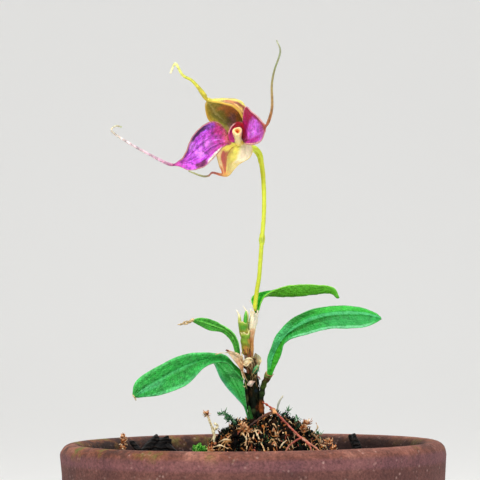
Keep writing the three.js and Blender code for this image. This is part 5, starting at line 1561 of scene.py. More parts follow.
# %% Flower outlines
FLOWER = {
    "upper_sepal": {
        "left": [
            (-3.2, -1, 130.1), (-6.1, 0.5, 131.3), (-8.2, 0.2, 133.3), (-8.8, -1.2, 135.6),
            (-8.6, -3.1, 136.9),
        ],
        "midrib": [
            (-2.7, -0.2, 130.9), (-1.1, 1.8, 134.6), (-2.6, 0.7, 136.8), (-5.6, -1.8, 137.2),
            (-8.2, -3.4, 137.1),
        ],
        "right": [
            (-1.9, -1.1, 130.5), (-1.5, -2.5, 133.2), (-3, -4, 135.4), (-5.8, -4.4, 136.5),
            (-8, -3.8, 136.9),
        ],
        "tail": [
            (-9, -3.8, 138), (-10, -4.1, 139.4), (-11.4, -4.5, 140.9), (-13.1, -4.8, 141.9),
            (-14.5, -4.9, 144.1), (-15.5, -4, 142.3),
        ],
    },
    "lower_sepal": {
        "left": [
            (-2.9, -2.3, 128.8), (-5.1, -2.7, 128.6), (-6.6, -2.5, 126.7), (-6.2, -2, 124.5),
            (-5.7, -1.4, 122.9), (-6, -0.9, 122.8),
        ],
        "midrib": [
            (-2.2, -1.7, 128.6), (-3.9, -1.3, 127.8), (-4.8, -1, 126.2), (-4.9, -0.9, 124.3),
            (-5, -1.2, 122.6), (-5.9, -0.9, 122.5),
        ],
        "right": [
            (-1.3, -1.7, 129.3), (0.3, -2.4, 128.1), (0, -2.3, 125.9), (-2.4, -1.9, 124.3),
            (-4.3, -1.5, 122.2), (-5.8, -0.9, 122.2),
        ],
        "tail": [(-7.5, 0, 122.9), (-8.3, 0.5, 122.3), (-9.6, 0.9, 122.3), (-12.2, 1.1, 123.3)],
    },
    "petal_left": {
        "left": [
            (-3.7, -2.2, 129.3), (-5.2, -3.5, 131.7), (-7.7, -4.5, 132.8), (-10.9, -5.1, 130.5),
            (-12.6, -5, 127), (-14.4, -4.5, 124.9),
        ],
        "midrib": [
            (-3.6, -2.1, 128.8), (-5, -2.7, 129.4), (-7.7, -3.3, 129), (-10, -3.9, 127.4),
            (-12.2, -4.3, 125.6), (-14.4, -4.4, 124.6),
        ],
        "right": [
            (-3.7, -2.4, 128.5), (-5, -3.6, 128), (-7.4, -4.4, 125.6), (-9.4, -5.1, 123.7),
            (-12, -5.1, 123.4), (-14.4, -4.6, 124.2),
        ],
        "tail": [
            (-16, -4.5, 124.6), (-19.4, -5, 126.3), (-24.3, -5.5, 129.1), (-27, -5, 131.1),
            (-26.3, -4.4, 132.1), (-25.1, -3.9, 131.9),
        ],
    },
    "petal_right": {
        "left": [
            (-1.7, -2.5, 129.3), (-1.4, -3.8, 133), (-0.9, -6.2, 135.6), (1, -9.5, 133.7),
            (2.7, -11.9, 132.0),
        ],
        "midrib": [
            (-1.2, -2.5, 128.9), (-0.5, -4.8, 130.4), (0.9, -7.8, 131.8), (2, -10.2, 131.9),
            (2.8, -11.9, 131.6),
        ],
        "right": [
            (-1.2, -2.7, 128.6), (-0.5, -5.5, 128.2), (1.1, -8.6, 128.2), (2.2, -10.8, 129.2),
            (3, -12, 131.2),
        ],
        "tail": [
            (3.5, -12.3, 132.5), (4.2, -12.6, 135.2), (4.2, -12.3, 139.4), (4.7, -11.7, 142.3),
            (5.9, -10.8, 146), (5.2, -10.1, 148.3),
        ],
    },
    "lip": {
        "left": [
            (-4.1, -3, 129.1), (-4.3, -3.8, 130.5), (-3.8, -4, 131.8), (-2.8, -4.2, 132.6),
            (-1.6, -4.2, 132.6), (-1.0, -4, 131.6), (-1.1, -3.4, 129.6),
        ],
        "midrib": [
            (-3.7, -2.7, 128.9), (-3.8, -3.2, 130.3), (-3.3, -3.4, 131.2), (-2.6, -3.6, 131.9),
            (-1.9, -3.6, 131.9), (-1.5, -3.4, 131.2), (-1.5, -3.1, 129.5),
        ],
        "right": [
            (-3.1, -2.9, 128.8), (-3.2, -3.7, 130.1), (-2.9, -4.1, 130.9), (-2.4, -4.4, 131.4),
            (-2, -4.4, 131.4), (-1.9, -4, 130.9), (-1.9, -3.3, 129.5),
        ],
    },
}


# %% Petal relief and finish
def petal_relief(seed, wave=0.16, pleats=0.03, pleat_count=7, swell=0.0):
    """The height of a petal's face: pleats as cosines from edge to edge, a wave at the edges, a swell in
    the middle of each half, and a fine unevenness."""
    def relief(t, along, sheet):
        edges = wave * ripple(sheet, 4.2, seed) * np.abs(t) ** 2.5
        folds = pleats * np.cos(pleat_count * np.pi * t) * (1 - t ** 2)
        halves = swell * np.sin(np.pi * np.abs(t)) * np.sin(np.pi * np.clip(along, 0, 1))
        return edges + folds + halves + 0.05 * ripple(sheet, 1.5, seed + 1)
    return relief


def petal_skin(
    name, inside, outside, edge, streaks, zones=(), outer_zones=(), patches=(), gloss=0.35, cell_mm=0.3,
    edge_share=0.95, sparkle=0.06, glow=0.12, mottle=0.22,
):
    """Fleshy petal tissue. inside and outside are ramps over the way from the foot (0) through the end of
    the blade (0.5) to the tip of the tail (1). streaks are a light and a dark hex colour with their
    strengths, drawn by a noise that is stretched along the petal. A zone is a band of colour: its hex, its
    strength, its middle, half width and softness from edge to edge, and the same along the blade."""
    material, tree, shader, at, place, split = placed_finish(name)
    fine = node(
        tree, "ShaderNodeTexNoise", {"Vector": at, "Scale": 1 / (0.8 * MM), "Detail": 4.0, "Roughness": 0.62})
    cloud = node(
        tree, "ShaderNodeTexNoise", {"Vector": at, "Scale": 1 / (1.6 * MM), "Detail": 3.0})
    drawn = node(tree, "ShaderNodeVectorMath", {0: place, 1: (7.0, 1.6, 0.4)}, operation="MULTIPLY")
    lines = node(
        tree, "ShaderNodeTexNoise",
        {"Vector": drawn.outputs["Vector"], "Scale": 1.6, "Detail": 5.0, "Roughness": 0.62,
         "Distortion": 0.4},
    ).outputs["Fac"]
    # The places from edge to edge and along, shifted by noise so that no colour has a ruled border
    across = wavered(tree, split["X"], cloud.outputs["Fac"], 0.2)
    along = wavered(tree, split["Y"], fine.outputs["Fac"], 0.14)
    half_way = node(tree, "ShaderNodeMath", {0: along, 1: 0.5}, operation="MULTIPLY").outputs[0]
    blade_only = node(
        tree, "ShaderNodeMapRange", {"Value": split["Y"], "From Min": 1.05, "From Max": 0.9},
    ).outputs["Result"]
    faces = []
    for stops, bands in ((inside, zones), (outside, outer_zones)):
        hue = node(tree, "ShaderNodeValToRGB", {"Fac": half_way}, stops=stops).outputs["Color"]
        light, light_share, deep, deep_share = streaks
        for hex_colour, low, high, amount in (
            (light, 0.53, 0.7, light_share), (deep, 0.47, 0.32, deep_share),
        ):
            share = node(
                tree, "ShaderNodeMapRange",
                {"Value": lines, "From Min": low, "From Max": high, "To Max": amount},
            ).outputs["Result"]
            share = node(tree, "ShaderNodeMath", {0: share, 1: blade_only}, operation="MULTIPLY").outputs[0]
            hue = layered(tree, hue, [(share, hex_colour)])
        faces.append(banded(tree, hue, across, along, bands))
    front = patched(tree, faces[0], at, patches)
    behind = node(
        tree, "ShaderNodeMapRange", {"Value": split["Z"], "From Min": 0.2, "From Max": -0.2},
    ).outputs["Result"]
    hue = node(tree, "ShaderNodeMix", {0: behind, 6: front, 7: faces[1]}, data_type="RGBA").outputs[2]
    hue = toned(tree, hue, fine.outputs["Fac"], 0.32, 0.68, 1 - mottle, 1 + mottle)
    off_middle = node(tree, "ShaderNodeMath", {0: split["X"]}, operation="ABSOLUTE").outputs[0]
    line = node(
        tree, "ShaderNodeMapRange",
        {"Value": off_middle, "From Min": edge_share, "From Max": edge_share + 0.03, "To Max": 0.85},
    ).outputs["Result"]
    line = node(tree, "ShaderNodeMath", {0: line, 1: blade_only}, operation="MULTIPLY").outputs[0]
    surfaced(tree, shader, layered(tree, hue, [(line, edge)]), gloss, 0.4, glow, 0.5)
    cells = node(tree, "ShaderNodeTexVoronoi", {"Vector": at, "Scale": 1 / (cell_mm * MM)})
    grain = node(
        tree, "ShaderNodeMath", {0: lines, 1: 1.5, 2: cells.outputs["Distance"]}, operation="MULTIPLY_ADD")
    bumped(tree, shader, grain.outputs[0], sparkle)
    return material


# %% Finishes of the flower's blades
hood_skin = petal_skin(
    "hood_skin",
    inside=[(0.0, "#8f7430"), (0.14, "#ac9a48"), (0.34, "#aa9c48"), (0.46, "#b8aa3c"), (0.53, "#b8a82c"),
            (0.64, "#c0b838"), (0.8, "#ccd04c"), (0.93, "#e4e890"), (1.0, "#f4f0cc")],
    outside=[(0.0, "#845218"), (0.14, "#8c5a16"), (0.3, "#8f6818"), (0.45, "#968622"), (0.53, "#a4962a"),
             (0.8, "#b8bc44"), (0.93, "#dade84"), (1.0, "#f0ecc4")],
    edge="#d0ac3c", streaks=("#c2ae58", 0.4, "#6c5a1a", 0.5),
    zones=[
        ("#d67848", 0.65, (-0.48, 0.14, 0.14), (0.42, 0.14, 0.1)),
        ("#c8743c", 0.5, (-0.36, 0.1, 0.12), (0.28, 0.12, 0.12)),
        ("#a07888", 0.75, (-0.64, 0.09, 0.14), (0.22, 0.08, 0.1)),
        ("#8f9a3c", 0.6, (-0.8, 0.12, 0.1), (0.4, 0.1, 0.12)),
        ("#c8b83c", 0.75, (-0.97, 0.04, 0.08), (0.75, 0.4, 0.2)),
        ("#cfc878", 0.55, (-0.78, 0.012, 0.03), (0.62, 0.25, 0.1)),
    ],
    outer_zones=[
        ("#f0d688", 0.85, (0.42, 0.12, 0.12), (0.42, 0.1, 0.08)),
        ("#b86224", 0.85, (0.75, 0.08, 0.1), (0.62, 0.07, 0.06)),
        ("#e4b868", 0.85, (0.92, 0.06, 0.08), (0.46, 0.07, 0.06)),
        ("#8a3a26", 0.9, (0.7, 0.07, 0.08), (0.38, 0.14, 0.08)),
        ("#984420", 0.75, (0.98, 0.04, 0.06), (0.4, 0.14, 0.12)),
        ("#cfc858", 0.7, (0.52, 0.08, 0.12), (0.66, 0.2, 0.12)),
        ("#c9c040", 0.9, (0.5, 0.6, 0.2), (1.0, 0.16, 0.14)),
    ],
    gloss=0.5, edge_share=0.93, mottle=0.3)
lower_skin = petal_skin(
    "lower_sepal_skin",
    inside=[(0.0, "#e6cc44"), (0.07, "#d4bc58"), (0.2, "#c0b06c"), (0.34, "#bdae6a"), (0.44, "#cb9448"),
            (0.5, "#cf7448"), (0.6, "#b8685c"), (0.7, "#b07a68"), (0.82, "#8f8f5e"), (1.0, "#a3ab78")],
    outside=[(0.0, "#d8c860"), (0.2, "#dcc890"), (0.4, "#d8a070"), (0.52, "#c98050"), (0.7, "#a87a68"),
             (1.0, "#9aa070")],
    edge="#d2bc74", streaks=("#d2c894", 0.5, "#ac9040", 0.5),
    zones=[
        ("#e4a870", 0.85, (-0.7, 0.34, 0.1), (0.55, 0.3, 0.2)),
        ("#f0d8a0", 0.7, (-0.8, 0.14, 0.12), (0.48, 0.1, 0.1)),
        ("#c8684c", 0.9, (-0.24, 0.28, 0.1), (0.54, 0.18, 0.12)),
        ("#b04c52", 0.7, (-0.28, 0.14, 0.1), (0.46, 0.1, 0.1)),
        # The upper margin's yellow (#fff06c) is raised past its own colour as painted light against the
        # petals' shade
        ("#fff06c", 0.95, (-0.3, 0.6, 0.2), (0.16, 0.1, 0.07)),
        ("#b0702c", 0.85, (0.14, 0.04, 0.07), (0.28, 0.08, 0.06)),
        ("#e8dc78", 0.7, (0.2, 0.05, 0.08), (0.55, 0.3, 0.1)),
        ("#d2cc50", 0.7, (0.38, 0.12, 0.14), (0.32, 0.14, 0.12)),
        ("#e2d8c4", 0.7, (0.78, 0.16, 0.2), (0.34, 0.12, 0.14)),
        ("#c05a34", 0.9, (-0.9, 0.12, 0.14), (0.8, 0.1, 0.1)),
        ("#e0a04c", 0.7, (0.0, 0.4, 0.2), (0.84, 0.06, 0.08)),
    ],
    gloss=0.42, edge_share=0.95, mottle=0.12)
left_skin = petal_skin(
    "left_petal_skin",
    inside=[(0.0, "#d89a50"), (0.05, "#b8503c"), (0.1, "#b02c66"), (0.18, "#b234a8"), (0.3, "#c046dc"),
            (0.4, "#c046d4"), (0.48, "#c446ac"), (0.53, "#c04a90"), (0.6, "#d9a0bc"), (0.72, "#ead2da"),
            (0.86, "#e0dcbc"), (1.0, "#d4d9a4")],
    outside=[(0.0, "#c98a50"), (0.12, "#a8306c"), (0.4, "#a03aa8"), (0.52, "#c05a9a"), (0.7, "#ead0d8"),
             (1.0, "#dde2ae")],
    edge="#b98070", streaks=("#d982ee", 0.85, "#6a1a7c", 0.85),
    zones=[
        ("#a81e68", 0.85, (-0.7, 0.24, 0.2), (0.26, 0.07, 0.08)),
        ("#7450c0", 0.5, (-0.8, 0.08, 0.14), (0.44, 0.05, 0.08)),
        # 340c3a deepens the darker purple upper margin with painted shade
        ("#340c3a", 0.95, (-0.87, 0.07, 0.08), (0.68, 0.17, 0.1)),
        ("#4c1060", 0.6, (-0.6, 0.05, 0.1), (0.78, 0.08, 0.08)),
        ("#9c4a34", 0.9, (-0.95, 0.05, 0.08), (0.18, 0.12, 0.1)),
        ("#d06a78", 0.8, (-0.1, 0.5, 0.3), (0.13, 0.05, 0.08)),
        ("#dc8448", 0.8, (-0.5, 0.5, 0.3), (0.05, 0.05, 0.07)),
        ("#dce4c8", 0.8, (0.94, 0.05, 0.1), (0.38, 0.08, 0.08)),
        ("#6e1644", 0.9, (0.84, 0.09, 0.12), (0.6, 0.06, 0.06)),
    ],
    patches=[
        # The pale violet patches (#dc86f0, #e092f0, #e88cf6) are painted highlights; the dark ones are
        # mottling
        ("#dc86f0", (-11.8, -4.6, 128.2), 1.5, 0.4), ("#e092f0", (-9.8, -4.2, 126.6), 1.3, 0.45),
        ("#7c2a9c", (-10.4, -4.4, 129.2), 0.8, 0.5), ("#82209c", (-9.0, -4.2, 127.9), 0.7, 0.5),
        ("#8a1c90", (-12.6, -4.7, 126.4), 0.7, 0.5), ("#6c2288", (-12.2, -4.9, 127.4), 0.6, 0.5),
        ("#8c1a8c", (-10.6, -4.7, 125.2), 0.8, 0.5), ("#7a1c7c", (-7.6, -4.0, 131.0), 0.9, 0.4),
        ("#4c1458", (-12.9, -4.8, 127.0), 0.6, 0.6), ("#5a1864", (-11.6, -4.6, 125.6), 0.5, 0.5),
        ("#e88cf6", (-8.2, -4.0, 128.6), 1.2, 0.35), ("#8a2494", (-6.6, -3.6, 129.6), 0.6, 0.5),
    ],
    gloss=0.42, sparkle=0.16, cell_mm=0.38, mottle=0.56)
right_skin = petal_skin(
    "right_petal_skin",
    inside=[(0.0, "#9c2444"), (0.1, "#9c2058"), (0.22, "#a42c80"), (0.32, "#b044b8"), (0.42, "#a83e90"),
            (0.49, "#a04a50"), (0.53, "#a0583c"), (0.62, "#a87040"), (0.74, "#a8965c"), (0.87, "#8a9468"),
            (1.0, "#c4caa8")],
    outside=[(0.0, "#b05a50"), (0.2, "#b0486c"), (0.44, "#a8503c"), (0.62, "#b0743c"), (0.74, "#a8965c"),
             (0.87, "#8f9a6a"), (1.0, "#c9cfb0")],
    edge="#c98f90", streaks=("#dc90f0", 0.8, "#801a5c", 0.8),
    zones=[
        ("#a40640", 0.92, (-0.75, 0.2, 0.2), (0.44, 0.2, 0.14)),
        ("#a01060", 0.85, (-0.4, 0.5, 0.3), (0.18, 0.1, 0.12)),
        # The bright violet zone #dc6cf6 is a painted highlight in the middle of the blade
        ("#dc6cf6", 0.7, (0.1, 0.3, 0.25), (0.46, 0.12, 0.14)),
        ("#b8209c", 0.7, (0.72, 0.08, 0.1), (0.36, 0.2, 0.12)),
        ("#e4b0a0", 0.85, (0.95, 0.03, 0.04), (0.36, 0.22, 0.12)),
        ("#8a2a24", 0.8, (-0.6, 0.3, 0.2), (0.78, 0.06, 0.08)),
        ("#a04a38", 0.8, (0.0, 1.0, 0.1), (0.97, 0.05, 0.08)),
    ],
    patches=[
        ("#8a1c70", (0.9, -7.6, 132.6), 0.8, 0.45), ("#8c2080", (1.6, -9.0, 130.8), 0.7, 0.45),
        # The pale violet patch #e29af4 is a painted highlight
        ("#e29af4", (0.6, -7.0, 130.6), 0.9, 0.5), ("#9c2a8c", (0.0, -6.0, 131.4), 0.7, 0.4),
    ],
    gloss=0.42, sparkle=0.15, cell_mm=0.38, mottle=0.4)
lip_skin = petal_skin(
    "lip_skin",
    inside=[(0.0, "#b01a7c"), (0.12, "#ac1666"), (0.2, "#980e2c"), (0.34, "#b01026"), (0.5, "#8a0a1c"),
            (1.0, "#7a0a1e")],
    outside=[(0.0, "#b01a7c"), (0.2, "#98102e"), (0.5, "#7a0a1e"), (1.0, "#7a0a1e")],
    edge="#8c1024", streaks=("#d03a5a", 0.4, "#5c0a20", 0.6),
    zones=[
        ("#dcaab0", 0.9, (-1.0, 0.06, 0.1), (0.3, 0.12, 0.1)),
        ("#c8207c", 0.8, (-0.7, 0.3, 0.2), (0.08, 0.06, 0.08)),
        ("#c41830", 0.6, (-0.6, 0.14, 0.14), (0.56, 0.14, 0.1)),
        ("#5c0818", 0.8, (0.75, 0.2, 0.2), (0.6, 0.3, 0.2)),
    ],
    gloss=0.3, edge_share=1.2, mottle=0.35)

# %% Blades of the flower
HOOD = dict(
    relief=petal_relief(401, 0.1, 0.02, 9, 0.0), half_thick=0.16, bead=0.12, columns=49, round_half=0.5,
    tail_halves=(0.55, 0.38, 0.3, 0.28, 0.26, 0.2))
PETAL = dict(
    relief=petal_relief(411, 0.2, 0.035, 7, 0.1), half_thick=0.15, bead=0.05, columns=49,
    tail_halves=(0.32, 0.26, 0.22, 0.2, 0.18, 0.14))
LOWER = dict(
    relief=petal_relief(421, 0.12, 0.02, 7, 0.1), half_thick=0.15, bead=0.05, columns=49, crease=0.75,
    tail_halves=(0.22, 0.2, 0.2, 0.14))
LIP = dict(relief=petal_relief(431, 0.05, 0.0), half_thick=0.2)
FLOWER_BLADES = {
    "upper_sepal": (HOOD, hood_skin, "yellow_sepal"),
    "lower_sepal": (LOWER, lower_skin, "cream_sepal"),
    "petal_left": (PETAL, left_skin, "magenta_petal"),
    "petal_right": (PETAL, right_skin, "magenta_petal"),
    "lip": (LIP, lip_skin, "crimson_lip"),
}
for name, (form, skin_finish, slot_name) in FLOWER_BLADES.items():
    piece(name + "_blade", blade(**FLOWER[name], **form), skin_finish, [name])
print("flower triangles:", {name: made_pieces[name + "_blade"] for name in FLOWER_BLADES})

# %% [markdown]
# ## The column
# In the middle stands the column, where the stamen and the stigma are grown together. It is a short cream
# club whose mouth flares into lobes round an orange hollow. Its rings run up the outside, over the lobed
# rim, and down into the hollow.

# %% Column
COLUMN = [
    (-2.3, -1.8, 128.6), (-2.38, -2.8, 129.1), (-2.45, -3.8, 129.7), (-2.5, -4.6, 130.3),
    (-2.5, -5.1, 130.65), (-2.5, -5.6, 130.9),
]


def column_surface(rows=60, sides=60):
    """A club round the column's line. It widens to a mouth with three lobes that looks at the viewer, and
    the rings then turn back inside it to make a hollow 0.6 mm deep."""
    route = even_line(COLUMN, rows)
    share = np.linspace(0, 1, rows)
    radius = np.interp(share, [0, 0.3, 0.55, 0.8, 0.92, 1], [0.66, 0.66, 0.74, 0.94, 0.98, 0.86])
    rings = stem_rings(route[None], radius[None], sides)[0]
    q = TURN * np.arange(sides) / sides
    flare = 1 + ease(0.6, 1, share)[:, None] * 0.1 * np.cos(3 * q + 0.6)
    rings = route[:, None] + (rings - route[:, None]) * flare[..., None]
    ahead = unit(route[-1] - route[-3])
    depth = np.linspace(0, 1, 16)[1:, None, None]
    hollow = route[-1] + (rings[-1] - route[-1]) * (1 - 0.94 * depth ** 1.2)
    hollow = hollow + ahead * (0.12 * np.sin(np.pi * depth) - 0.6 * ease(0.35, 1, depth))
    rings = np.concatenate([rings, hollow])[None]
    traits = body_traits(rings, 5)
    traits[0, :, :, 1] = np.concatenate([0.7 * share, 0.7 + 0.3 * depth[:, 0, 0]])[:, None]
    return skin(rings, traits)


column_skin = ridged_finish(
    "column_skin",
    [(0.0, "#f0dc74"), (0.4, "#f4e6a8"), (0.66, "#f4e0a0"), (0.8, "#f0d490"), (0.88, "#f0b868"),
     (0.95, "#dc7428"), (1.0, "#a84418")],
    patches=[
        ("#a84c20", (-3.15, -5.0, 129.9), 0.34, 0.9), ("#c87030", (-2.95, -4.4, 129.3), 0.26, 0.8),
        ("#c8a030", (-2.2, -5.5, 130.2), 0.22, 0.6), ("#7a3418", (-2.7, -5.7, 131.0), 0.2, 0.8),
    ],
    ridges=10, ridge_depth=0.05, streak=0.06, dark=0.16, roughness=0.4, glow=0.2)
piece("column_skin", column_surface(), column_skin, ["column"])

# %% [markdown]
# ## Roots and small mosses in view
# A few things on the mound are large enough to tell apart: a red root that forks as it dives for the bark,
# a grey root tip that stands up, a dry yellow sprout, a grey-green sprig and a rosette of bright moss, with
# a few dark and pale roots and tufts between them. Roots are stems with a bark of their own. Mosses are
# stems that carry rows of tiny leaves, set round them by the golden angle, which is how most moss leaves
# really stand.

# %% Roots
RED_ROOTS = [
    ([(1.9, -1.3, 77.9), (3.3, -2.3, 77.0), (4.9, -3.9, 75.5), (8.3, -8.6, 72.1), (9.9, -10.3, 70.8),
      (12.4, -12.4, 69.1), (13, -13.2, 68.1)], [0.18, 0.2, 0.22, 0.18, 0.24, 0.19, 0.14]),
    ([(9.4, -10, 71.2), (8.2, -11.2, 70.7), (7.0, -12.2, 69.8), (6.2, -12.6, 68.7)],
     [0.19, 0.17, 0.15, 0.12]),
    ([(10.2, -10.8, 70.4), (11.0, -12.4, 69.6), (11.3, -13.8, 68.3)], [0.19, 0.15, 0.12]),
]
GREY_ROOT = [(4.9, 0.5, 72.4), (4.8, 0.4, 75.2), (4.9, 0.4, 76.8), (5.3, 0.2, 78), (6, 0, 79.1)]
# The knot where the root leaves the stem, and a dark root that runs from it to the left
ROOT_KNOT = [(3.5, -2.7, 76.8), (4.0, -2.9, 76.3), (4.5, -3.5, 75.8)]
DARK_ROOT = [(4.2, -3.0, 76.2), (2.6, -4.2, 75.6), (1.0, -5.2, 74.6), (-0.8, -6.0, 73.4)]
CREAM_ROOTS = [
    [(0.3, -7.4, 73.1), (0.8, -8.4, 71.8), (1.6, -9.6, 70.2)],
    [(-8.0, -8.2, 69.4), (-6.4, -8.8, 69.8), (-4.8, -9.2, 69.2)],
    [(-6.8, -7.4, 70.3), (-5.6, -8, 70.9), (-4.2, -8.2, 70.8)],
    [(-2.2, -7.8, 72.2), (-1.3, -8.6, 71.0), (-1.6, -9.4, 69.7)],
    [(6.6, -9.6, 70.8), (5.8, -10.2, 70.2), (5.0, -10.8, 69.2)],
    [(11.8, -4.0, 71.8), (12.6, -4.6, 72.9), (12.3, -5.0, 73.9)],
]
red_root = ridged_finish(
    "red_root_bark", [(0.0, "#b04c30"), (0.3, "#a04030"), (0.6, "#b05440"), (1.0, "#c88468")],
    patches=[
        ("#e0a890", (9.9, -10.3, 70.8), 0.8, 0.8), ("#e0a468", (4.3, -3.2, 76.0), 1.0, 0.85),
        ("#d88878", (7.2, -7.0, 73.0), 0.7, 0.6), ("#7c3028", (6.2, -5.6, 74.0), 0.6, 0.6),
    ],
    ridges=14, ridge_depth=0.14, dark=0.5, roughness=0.5)
grey_root = ridged_finish(
    "grey_root_skin", [(0.0, "#7d8468"), (0.5, "#9aa392"), (0.8, "#c2c6b4"), (1.0, "#d9d3b8")], ridges=12,
    ridge_depth=0.08, dark=0.25, roughness=0.6)
dark_root = ridged_finish(
    "dark_root_bark", [(0.0, "#8a4c2c"), (0.5, "#5c3220"), (1.0, "#3a2016")], ridges=12, ridge_depth=0.1,
    dark=0.4, roughness=0.55)
cream_root = ridged_finish(
    "cream_root_skin", [(0.0, "#c9a070"), (0.5, "#efd9ae"), (1.0, "#d8a878")], ridges=12, ridge_depth=0.08,
    dark=0.3, roughness=0.65)
red_body = together(
    *[tapered_stem(path, radii, 90, 16, 21 + n, 0.05, 0.7) for n, (path, radii) in enumerate(RED_ROOTS)],
    tapered_stem(ROOT_KNOT, [0.3, 0.42, 0.3], 30, 18, 27, 0.12, 0.6))
piece("aerial_root_red_bark", red_body, red_root, ["aerial_root_red"])
grey_body = tapered_stem(GREY_ROOT, [0.24, 0.22, 0.18, 0.19, 0.12], 60, 16, 28, 0.03, 0.8)
piece("aerial_root_grey_skin", grey_body, grey_root, ["aerial_root_grey"])
dark_body = tapered_stem(DARK_ROOT, [0.2, 0.22, 0.18, 0.14], 60, 14, 29, 0.05, 0.8)
piece("dark_root", dark_body, dark_root)
cream_body = together(
    *[tapered_stem(path, [0.1, 0.16, 0.1], 40, 12, 31 + number, 0.05, 0.7)
      for number, path in enumerate(CREAM_ROOTS)])
piece("cream_roots", cream_body, cream_root)

# %% Mosses in view
GOLDEN_ANGLE = math.pi * (3 - math.sqrt(5))
YELLOW_SPROUT = [
    [(-7.6, -5.6, 70.2), (-7.6, -5.8, 71.8), (-7.9, -5.9, 73), (-8.5, -5.9, 74.6), (-8.9, -5.8, 75.6),
     (-9.4, -5.6, 75.5)],
    [(-7.9, -5.8, 72.8), (-7.2, -6.1, 73.0), (-6.9, -6.2, 73.6), (-7.5, -6.2, 74.0)],
]
GREY_SPRIG = [
    [(-3, -3.4, 73.1), (-3.9, -3.8, 74.3), (-4.8, -4.2, 75.3), (-5.8, -4.5, 75.8), (-6.6, -4.7, 75.8)],
    [(-4.6, -4.1, 75.1), (-4.8, -4.4, 74.3)],
    [(-5.1, -4.3, 75.5), (-5.3, -4.7, 74.8)],
]
ROSETTE_FOOT = np.array([-10.4, -13.4, 66.9])
# Small tufts of dead and living moss that show at the mound's edge and near the wall
TUFTS = {
    "tan": [((10.6, -4.6, 73.6), 0.8), ((9.8, -5.4, 72.6), 0.6), ((-2, -6.6, 73.5), 0.9),
            ((-0.9, -7.4, 72.6), 0.7), ((14.6, -6.0, 70.1), 0.7), ((15.7, -6.4, 68.8), 0.4),
            ((-25.3, -5.0, 71.3), 0.4),
            ((-25.2, -5.2, 70.3), 0.5), ((-25.4, -5.4, 69.2), 0.5), ((-8.2, -12.0, 68.9), 0.9),
            ((-9.0, -5.8, 75.8), 0.35)],
    "green": [((6.8, -3.4, 76.1), 0.4), ((8.8, -3.4, 74.6), 0.4), ((-5.6, -4.4, 75.6), 0.6),
              ((-4.6, -4.8, 74.9), 0.7), ((12.8, -5.2, 71.6), 0.4)],
    "dark": [((6.1, -2.6, 75.2), 0.9), ((7.6, -2.8, 74.1), 1.1), ((9.4, -3.2, 72.9), 1.2),
             ((10.8, -3.4, 71.4), 1.2), ((8.8, -4.2, 72.8), 1.0), ((4.6, -1.6, 75.3), 0.8),
             ((-3.4, -3.2, 73.6), 1.0), ((-5.4, -3.6, 72), 1.1)],
}


def shoot_leaves(path, count, length, width, seed, lean=0.6):
    """Leaves set along a moss stem by the golden angle, leaning towards its tip."""
    draw = np.random.default_rng(seed)
    share = np.linspace(0.08, 1, count)
    line = even_line(path, 200)
    feet = np.stack([np.interp(share, np.linspace(0, 1, 200), line[:, axis]) for axis in range(3)], 1)
    across, up = side_vectors(line[None])
    row = np.minimum((share * 199).astype(int), 199)
    q = GOLDEN_ANGLE * np.arange(count)
    ahead = unit(np.gradient(line, axis=0))[row]
    ways = np.cos(q)[:, None] * across[0][row] + np.sin(q)[:, None] * up[0][row] + lean * ahead
    ways = ways + draw.normal(0, 0.15, ways.shape)
    return small_leaves(seed, feet, ways, (0.7 * length, length), (0.7 * width, width))


def tuft(centre, reach, count, seed, length, width):
    """Leaves that start near one place and point outward and up, as moss in a cushion does."""
    draw = np.random.default_rng(seed)
    feet = np.array(centre) + draw.normal(0, 0.35, (count, 3)) * reach
    ways = unit(feet - np.array(centre) + np.array([0, 0, 0.35 * reach])) + draw.normal(0, 0.3, (count, 3))
    return small_leaves(seed + 1, feet, ways, length, width)


def rosette(foot, shoots=15, seed=19):
    """A cushion of upright shoots set by the golden angle, tallest in the middle, each with its leaves."""
    draw = np.random.default_rng(seed)
    bodies = []
    for number in range(shoots):
        angle = GOLDEN_ANGLE * number
        spread = 1.1 * math.sqrt(number / shoots)
        height = 3.1 * (1 - 0.14 * spread) * (0.85 + 0.15 * draw.random())
        out = np.array([math.cos(angle), math.sin(angle), 0.0]) * spread
        path = [foot + 0.3 * out, foot + 0.6 * out + (0, 0, 0.5 * height), foot + out + (0, 0, height)]
        bodies.append(shoot_leaves(path, 34, 0.95, 0.26, seed + number, 0.9))
    return together(*bodies)


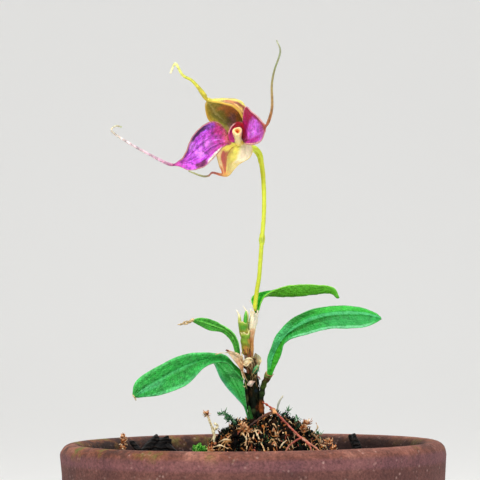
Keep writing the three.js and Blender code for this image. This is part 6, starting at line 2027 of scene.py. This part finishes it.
yellow_moss = strand_finish(
    "dry_yellow_moss", [(0.1, "#9a6a3c"), (0.35, "#d0a870"), (0.65, "#ecd8a4"), (1.0, "#f2e6bc")], 0.4)
grey_moss = strand_finish(
    "grey_green_moss", [(0.1, "#1f5230"), (0.4, "#3f8458"), (0.7, "#9cc09c"), (1.0, "#3c8040")], 0.4)
bright_moss = strand_finish(
    "bright_green_moss", [(0.1, "#2f8a28"), (0.4, "#4fbc38"), (0.7, "#8cdc5a"), (1.0, "#c0ec8a")], 0.4, 0.6)
tan_moss = strand_finish(
    "tan_moss_tufts", [(0.1, "#8a4c28"), (0.4, "#c87c48"), (0.7, "#e8ac78"), (1.0, "#f8dcb4")], 0.4)

sprout = together(
    *[tapered_stem(path, [0.24, 0.27, 0.22, 0.2], 60, 12, 41, 0.06, 0.6) for path in YELLOW_SPROUT],
    shoot_leaves(YELLOW_SPROUT[0], 60, 0.6, 0.18, 43, 1.6),
    shoot_leaves(YELLOW_SPROUT[1], 14, 0.4, 0.14, 44, 1.4))
piece("moss_sprout_yellow_leaves", sprout, yellow_moss, ["moss_sprout_yellow"])
sprig = together(
    *[tapered_stem(path, [0.18, 0.2, 0.12], 40, 10, 45, 0.03, 0.6) for path in GREY_SPRIG],
    *[shoot_leaves(path, count, 0.58, 0.4, 46 + count, 1.0) for path, count in zip(GREY_SPRIG, (90, 20, 20))])
piece("moss_sprig_grey_leaves", sprig, grey_moss, ["moss_sprig_grey"])
piece("moss_tuft_green_leaves", rosette(ROSETTE_FOOT), bright_moss, ["moss_tuft_green"])
# For each kind: its finish, its slot, its leaves in a tuft, its seed, and their lengths and half widths
TUFT_LOOKS = {
    "tan": (tan_moss, "dead_moss", 40, 500, (0.35, 0.7), (0.2, 0.36)),
    "dark": (moss_dark, "dead_moss", 60, 520, (0.35, 0.75), (0.16, 0.3)),
    "green": (grey_moss, "grey_moss", 16, 540, (0.5, 1.0), (0.14, 0.28)),
}
for kind, (tuft_finish, tuft_slot, leaf_count, seed, lengths, widths) in TUFT_LOOKS.items():
    tufts = together(*[
        tuft(centre, reach, leaf_count, seed + n, lengths, widths)
        for n, (centre, reach) in enumerate(TUFTS[kind])])
    piece(kind + "_moss_tufts", tufts, tuft_finish)
print("moss triangles:", {name: made_pieces[name] for name in made_pieces if "moss" in name})

# %% [markdown]
# ## Sizes
# The number of pieces made here and of their triangles is printed. No surface may grow out of the form
# that it stands for.

# %% Sizes
print("pieces:", len(made_pieces), "triangles:", sum(made_pieces.values()))
